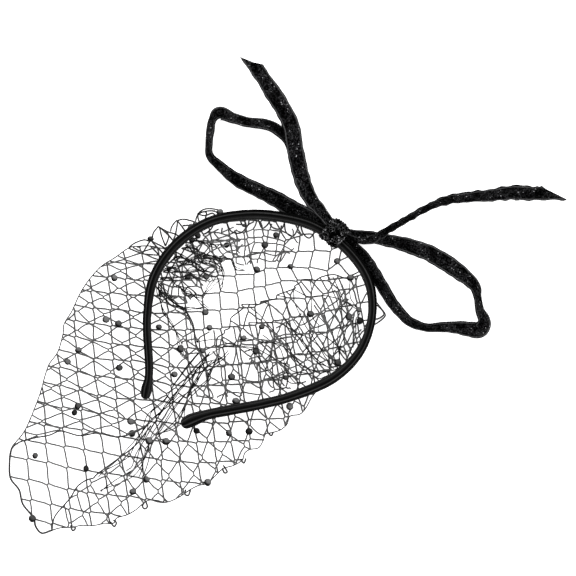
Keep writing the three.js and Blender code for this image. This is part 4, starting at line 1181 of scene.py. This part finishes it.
class Veil:
    """Where the veil's layers lie: their outlines, their heights and their threads"""

    def __init__(self, context):
        self.net = context.scene.headband_net
        self.shift = band_shift(context.scene.headband_band)
        self.line = BandLine(context.scene.headband_band)
        self.left_fold = to_frame(LEFT_FOLD, self.shift)
        self.low_fold = to_frame(LOW_FOLD, self.shift)
        self.table = to_frame(LEFT_FOLD + LOW_HEM + LOW_FOLD + SEWN_EDGE, self.shift)
        self.left_flap = to_frame(LEFT_FOLD + LOW_HEM[1:3] + LEFT_FLAP_HEM + LEFT_FLAP_CREASE[::-1]
                                  + LEFT_SEWN_EDGE, self.shift)
        self.low_flap = to_frame(LOW_FOLD + SEWN_EDGE[:7] + LOW_FLAP_EDGE + LOW_FLAP_HEM, self.shift)

    def table_height(self, point):
        """Height of the layer on the table, which rises to the band where it is sewn to it"""
        apart, share = self.line.nearest(point.x - self.shift.x, point.y - self.shift.y)
        sewn = eased(1 - apart / SEWN_REACH) if SEWN_SHARES[0] < share < SEWN_SHARES[1] else 0
        return blend(self.net.table_height, self.net.sewn_height, sewn)

    def flap_height(self, point, fold):
        """Height of the folded-over layer: low on the fold, pressed down by the band, puffed between"""
        rest = blend(FOLD_HEIGHT, self.net.flap_height, eased(distance_to(point, fold) / FOLD_REACH))
        x, y = (point.x - self.shift.x) / MM, (point.y - self.shift.y) / MM
        puff = sum(high * math.exp(-((x - cx) ** 2 + (y - cy) ** 2) / wide ** 2)
                   for cx, cy, wide, high in PUFFS) * MM
        apart, _ = self.line.nearest(point.x - self.shift.x, point.y - self.shift.y)
        room = 0.5 * max(apart - PUFF_FROM_BAND, 0)
        puff = puff * room / (room + puff + 1e-9) if puff > 0 else 0
        ripple = 0.0006 * noise.noise(Vector((x * 0.09, y * 0.09, 4.4)))
        return rest + puff + (ripple if apart > 0.006 else 0)

    def left_height(self, point):
        """Height of the layer folded over at the left"""
        return self.flap_height(point, self.left_fold)

    def low_height(self, point):
        """Height of the layer folded over at the lower right"""
        return self.flap_height(point, self.low_fold)

    def top_height(self, point):
        """Height of whichever layer lies uppermost"""
        if inside(point, self.left_flap):
            return self.left_height(point)
        return self.low_height(point) if inside(point, self.low_flap) else self.table_height(point)

    def pleat_height(self, point):
        """Height of the loose pleats, which wander between the table and the flaps"""
        x, y = point.x / MM, point.y / MM
        return (2.4 + 2.6 * noise.noise(Vector((x * 0.11, y * 0.11, 7.7)))) * MM

    def rim(self, table):
        """The outline round a table of places"""
        right, left = [row[-1] for row in table[1:]], [row[0] for row in table[-2:0:-1]]
        return to_frame(table[0] + right + table[-1][-2::-1] + left, self.shift)

    def threads(self, table, start, step, columns, rows, wander, twist, moved):
        """The threads of one layer in plan, each with whether it runs down a column of knots. table is
        where every step-th knot lies, from knot start; twist is the share of knots that lean the
        first way, wander how far knots stray in metres, and moved the places of single knots."""
        lattice = [to_frame(row, self.shift) for row in table]
        seed = len(table) * 1.7 + start[0]

        def plain(c, r):
            across = [along(places, (c - start[0]) / step[0]) for places in lattice]
            return along(across, (r - start[1]) / step[1])

        def stray(column, row):
            return drift((column * 0.61, row * 0.57, seed), (column * 0.59, row * 0.63, seed + 6)) * wander

        still = Vector((0, 0))
        pulls = {knot: spot - plain(*knot) - stray(*knot)
                 for knot, spot in zip(moved, to_frame(moved.values(), self.shift))}

        def pull(c, r):
            """How far a place is drawn along by the moved knots round it"""
            column, row = math.floor(c), math.floor(r)
            sides = [blend(pulls.get((column, near), still), pulls.get((column + 1, near), still), c - column)
                     for near in (row, row + 1)]
            return blend(*sides, r - row)

        def spot(knot, c, r):
            return plain(c, r) + pull(c, r) + stray(*knot)

        found = []
        for is_column, outer, inner in ((True, columns, rows), (False, rows, columns)):
            for fixed in outer:
                places = []
                for moving in inner:
                    column, row = knot = (fixed, moving) if is_column else (moving, fixed)
                    ahead = (column, row + 1) if is_column else (column + 1, row)
                    pick = noise.noise(Vector((column * 7.31, row * 5.17, seed))) * 0.5 + 0.5
                    side = KNOT_SIZE if pick < twist else -KNOT_SIZE
                    slack = 0.05 * noise.noise(Vector((column * 3.3 + 0.4, row * 2.7, 5.5 + is_column)))
                    # Into and out of the knot, then twice on the way to the next one: how far on,
                    # how far aside, and how much it strays as the next knot does
                    for on, aside, share in ((-KNOT_SIZE, -side, 0), (KNOT_SIZE, side, 0),
                                             (0.3, slack + side * 0.3, 0.3), (0.7, slack, 0.7)):
                        c, r = (column + aside, row + on) if is_column else (column + on, row + aside)
                        places.append(blend(spot(knot, c, r), spot(ahead, c, r), share))
                found.append((line_through(places, 2), is_column))
        return found


def cut_to(line, outline):
    """The parts of a line in plan that lie inside an outline, ending on it"""
    parts, current = [], []
    for here, ahead in zip(line, line[1:]):
        here_in, ahead_in = inside(here, outline), inside(ahead, outline)
        if here_in and not current:
            current = [here]
        if here_in != ahead_in:
            low, high = (here, ahead) if here_in else (ahead, here)
            for _ in range(7):
                middle = (low + high) / 2
                low, high = (middle, high) if inside(middle, outline) else (low, middle)
            if here_in:
                parts.append(current + [low])
                current = []
            else:
                current = [low]
        if ahead_in:
            current.append(ahead)
    if len(current) > 1:
        parts.append(current)
    return [part for part in parts if len(part) > 2]


class HEADBAND_OT_net(bpy.types.Operator):
    """The veil's knotted net: the layer on the table, the two parts folded over it and the pleats"""
    bl_idname = "headband.net"
    bl_label = "Net layers"

    def execute(self, context):
        veil = Veil(context)
        net = context.scene.headband_net
        finish = thread_finish(net, "net_thread")
        left_flap = smoothed(LEFT_FLAP_KNOTS, range(-10, 6, 3), range(-4, 12, 3))
        low_flap = smoothed(LOW_FLAP_KNOTS, range(-3, 10, 3), range(-5, 17, 3))
        # Name, table, its first knot and step, columns and rows of knots, stray, twist, outline, height
        layers = [
            ("net_on_table", NET_LATTICE, (2, 2), (4, 4), range(-2, 23), range(-1, 21), 0.0016, 1.0,
             veil.table, veil.table_height),
            ("net_left_fold", left_flap, (-10, -4), (3, 3), range(-12, 8), range(-8, 14), 0.0022, 0.3,
             veil.left_flap, veil.left_height),
            ("net_low_fold", low_flap, (-3, -5), (3, 3), range(-5, 14), range(-8, 19), 0.002, 0.3,
             veil.low_flap, veil.low_height),
        ]
        # The pleats' name, table, step, columns, rows and stray
        for name, table, step, columns, rows, wander in (
            ("net_left_pleats", LEFT_PLEATS, (4, 3), 17, 7, 0.0042),
            ("net_low_pleats", LOW_PLEATS, (2, 3), 11, 7, 0.0034),
            ("net_middle_pleats", MIDDLE_PLEATS, (2, 2), 7, 5, 0.0036),
            ("net_crown_pleats", CROWN_PLEATS, (2, 2), 7, 5, 0.004),
        ):
            layers.append((name, table, (0, 0), step, range(columns), range(rows), wander, 0.5,
                           veil.rim(table), veil.pleat_height))
        for name, table, start, step, columns, rows, wander, twist, outline, height in layers:
            drawn = []
            thickness = 0.95 if "pleats" in name else 1
            moved = CROWN_KNOTS if name == "net_on_table" else {}
            for line, is_column in veil.threads(table, start, step, columns, rows, wander, twist, moved):
                lift = -CROSSING_LIFT if is_column else CROSSING_LIFT
                for part in cut_to(line, outline):
                    drawn.append([(Vector((*point, max(height(point) + lift, THREAD_FLOOR))), thickness)
                                  for point in part])
            thread_piece(name, drawn, net, finish)
        return {"FINISHED"}


class HEADBAND_OT_edges(bpy.types.Operator):
    """The net's doubled hems, the threads along its folds and the loops round the band"""
    bl_idname = "headband.edges"
    bl_label = "Net hems and folds"

    def execute(self, context):
        veil = Veil(context)
        net = context.scene.headband_net
        # Painted shade: hems, folds and loops use a copy of the thread darkened to 0.4
        finish = thread_finish(net, "hem_thread_painted_shade", 0.4)
        # Line, thickness as a share of the thread's, and height
        runs = [
            (LOW_HEM, 1.2, lambda point: TABLE_THREAD),
            (LEFT_FLAP_HEM, 0.95, veil.left_height),
            (LOW_FLAP_HEM, 0.95, veil.low_height),
            (LEFT_FLAP_CREASE[:LEFT_CREASE_SHOWN], 1.05, veil.left_height),
            (LOW_FLAP_EDGE[:LOW_EDGE_SHOWN], 0.9, veil.low_height),
            (LEFT_FOLD, 0.75, lambda point: FOLD_THREAD),
            (LOW_FOLD, 0.75, lambda point: FOLD_THREAD),
        ]
        drawn = [[(Vector((*point, height(point))), thick)
                  for point in to_frame(line_through(points, 6), veil.shift)]
                 for points, thick, height in runs]
        # Loops by the band lie higher than those along the low fold
        drawn += [[(Vector((*point, LOOP_THREAD if point.y > veil.shift.y else TABLE_THREAD)), 1)
                   for point in to_frame(line_through(points, 5), veil.shift)]
                  for points in BAND_LOOPS]
        thread_piece("net_hems", drawn, net, finish)
        return {"FINISHED"}


class HEADBAND_OT_gathers(bpy.types.Operator):
    """Bunched threads where the net is gathered on the arms and creased between its folds"""
    bl_idname = "headband.gathers"
    bl_label = "Net gathers"

    def execute(self, context):
        veil = Veil(context)
        net = context.scene.headband_net
        # Painted shade: the bunched threads use a copy of the thread darkened to 0.12
        finish = thread_finish(net, "bunched_thread_painted_shade", 0.12)
        pick = random.Random(41)
        drawn = []
        # Lines, how many threads follow each, how far they wander at start and end and how high
        # they rise in millimetres, and their thickness as a share of the thread's
        for lines, copies, start, end, high, thickness in (
            (LEFT_GATHER, 3, 1.0, 2.6, 5.0, 0.5),
            (RIGHT_GATHER, 1, 1.2, 3.0, 4.0, 0.6),
            (CREASE, 2, 3.4, 5.4, 3.0, 0.6),
        ):
            for points, copy in itertools.product(lines, range(copies)):
                seed = pick.uniform(0, 100)
                top = pick.uniform(0.3, 1) * high
                track = line_through(points, 7)
                line = []
                for index, point in enumerate(track):
                    share = index / (len(track) - 1)
                    wide = blend(start, end, share) * (0.35 + copy * 0.3)
                    wave = drift((seed, share * 3.1, 0), (seed + 31, share * 3.1, 0)) * wide * 2
                    jitter = drift((seed, share * 11, 5), (seed, share * 11, 9)) * 0.4
                    spot = to_frame([point + wave + jitter], veil.shift)[0]
                    # Each thread leaves the band 3 mm up, swells and comes down to the table
                    rise = math.sin(math.pi * min(share * 1.2, 1)) * top + 3.0 * (1 - share)
                    line.append((Vector((*spot, TABLE_THREAD + rise * MM)), thickness))
                drawn.append(line)
        thread_piece("net_gathers", drawn, net, finish)
        return {"FINISHED"}


class HEADBAND_OT_dots(bpy.types.Operator):
    """The flocked dots scattered over the net"""
    bl_idname = "headband.dots"
    bl_label = "Flocked dots"

    def execute(self, context):
        veil = Veil(context)
        net = context.scene.headband_net
        whole = bmesh.new()
        uv = whole.loops.layers.uv.new("UVMap")
        pick = random.Random(7)
        for (x, y), spot in zip(DOT_PLACES, to_frame(DOT_PLACES, veil.shift)):
            height = veil.top_height(spot)
            radius = net.dot / 2 * pick.uniform(0.85, 1.1)
            tilt = Matrix.Rotation(pick.uniform(-0.5, 0.5), 4, "X")
            tilt @= Matrix.Rotation(pick.uniform(-0.5, 0.5), 4, "Y")
            size = Matrix.Diagonal((radius, radius * pick.uniform(0.85, 1.1), radius * 0.62, 1))
            place = Matrix.Translation((spot.x, spot.y, max(height + radius * 0.4, radius * 0.85)))
            made = bmesh.ops.create_icosphere(whole, subdivisions=3, radius=1)
            lightness = pick.choice((1.0, 0.8, 0.65, 0.5, 0.35, 0.1))
            for face in {face for vert in made["verts"] for face in vert.link_faces}:
                for loop in face.loops:
                    # Painted light: v of the map is how far each point faces a light from the upper right
                    painted_light_side = loop.vert.co.dot(Vector((0.35, 0.45, 0.7)))
                    loop[uv].uv = (lightness, 0.5 + 0.5 * painted_light_side)
            for vert in made["verts"]:
                fuzz = noise.noise(vert.co * 4 + Vector((x, y, 0))) * 0.12 + noise.noise(vert.co * 11) * 0.06
                vert.co = place @ tilt @ size @ (vert.co * (1 + fuzz))
        finished_piece("net_dots", whole, flock_finish(net), "veil_thread")
        return {"FINISHED"}


class HEADBAND_OT_stage(bpy.types.Operator):
    """The pale floor, the soft lights and the camera straight above"""
    bl_idname = "headband.stage"
    bl_label = "Floor, light and camera"

    def execute(self, context):
        settings = context.scene.headband_stage
        scene = context.scene
        shift = band_shift(scene.headband_band)
        skin = bmesh.new()
        bmesh.ops.create_grid(skin, x_segments=1, y_segments=1, size=settings.floor_size / 2)
        mesh = mesh_from(skin, "studio_floor")
        mesh.transform(Matrix.Translation((0, 0, FLOOR_HEIGHT)))
        mesh.materials.append(floor_finish(settings))
        floor = bpy.data.objects.new("studio_floor", mesh)
        scene.collection.objects.link(floor)
        # Softboxes: name, place, size in metres and power in watts
        for name, place, size, power in (
            ("key_light", (-1.1, 0.9, 1.3), 0.7, 26),
            ("fill_light", (1.3, 0.5, 1.1), 0.8, 12),
            ("back_light", (0.2, -1.4, 1.0), 0.6, 10),
        ):
            light = bpy.data.lights.new(name, "AREA")
            light.size = size
            light.energy = power
            lamp = bpy.data.objects.new(name, light)
            lamp.location = place
            lamp.rotation_euler = (Vector((0, 0, 0)) - Vector(place)).to_track_quat("-Z", "Y").to_euler()
            scene.collection.objects.link(lamp)
        world = bpy.data.worlds.new("studio_room")
        world.use_nodes = True
        world.node_tree.nodes["Background"].inputs["Color"].default_value = (1, 1, 1, 1)
        world.node_tree.nodes["Background"].inputs["Strength"].default_value = settings.sky
        scene.world = world
        scene.view_settings.view_transform = "Standard"
        camera = bpy.data.cameras.new("overhead_camera")
        camera.sensor_width = 36
        camera.lens = camera.sensor_width * (settings.camera_height - VIEW_HEIGHT) / settings.view_width
        camera.clip_end = 20
        holder = bpy.data.objects.new("overhead_camera", camera)
        point = settings.view_width / PICTURE_SIDE
        holder.location = (shift.x + PICTURE_MIDDLE[0] * point, shift.y + PICTURE_MIDDLE[1] * point,
                           settings.camera_height)
        scene.collection.objects.link(holder)
        scene.camera = holder
        return {"FINISHED"}


OPERATORS = (
    HEADBAND_OT_stage, HEADBAND_OT_band, HEADBAND_OT_knot, HEADBAND_OT_ribbons, HEADBAND_OT_net,
    HEADBAND_OT_edges, HEADBAND_OT_gathers, HEADBAND_OT_dots,
)
SETTINGS = (("band", BandSettings), ("bow", BowSettings), ("net", NetSettings), ("stage", StageSettings))


class HEADBAND_PT_panel(bpy.types.Panel):
    """Sizes and colours, and a button for each group of pieces"""
    bl_idname = "HEADBAND_PT_panel"
    bl_label = "Veiled headband"
    bl_space_type = "VIEW_3D"
    bl_region_type = "UI"
    bl_category = "Headband"

    def draw(self, context):
        for name, group in SETTINGS:
            box = self.layout.box()
            settings = getattr(context.scene, "headband_" + name)
            for key in group.__annotations__:
                box.prop(settings, key)
        for operator in OPERATORS:
            self.layout.operator(operator.bl_idname)


def register():
    for name, group in SETTINGS:
        bpy.utils.register_class(group)
        setattr(bpy.types.Scene, "headband_" + name, bpy.props.PointerProperty(type=group))
    for operator in (*OPERATORS, HEADBAND_PT_panel):
        bpy.utils.register_class(operator)


def unregister():
    for operator in (HEADBAND_PT_panel, *reversed(OPERATORS)):
        bpy.utils.unregister_class(operator)
    for name, group in reversed(SETTINGS):
        delattr(bpy.types.Scene, "headband_" + name)
        bpy.utils.unregister_class(group)


def corners(box):
    """A box's corners as plain lists"""
    return [list(corner) for corner in box]


def main():
    register()
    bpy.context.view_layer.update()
    bpy.ops.headband.stage()
    bpy.ops.headband.band()
    bpy.ops.headband.knot()
    bpy.ops.headband.ribbons()
    bpy.ops.headband.net()
    bpy.ops.headband.edges()
    bpy.ops.headband.gathers()
    bpy.ops.headband.dots()


if __name__ == "__main__":
    main()
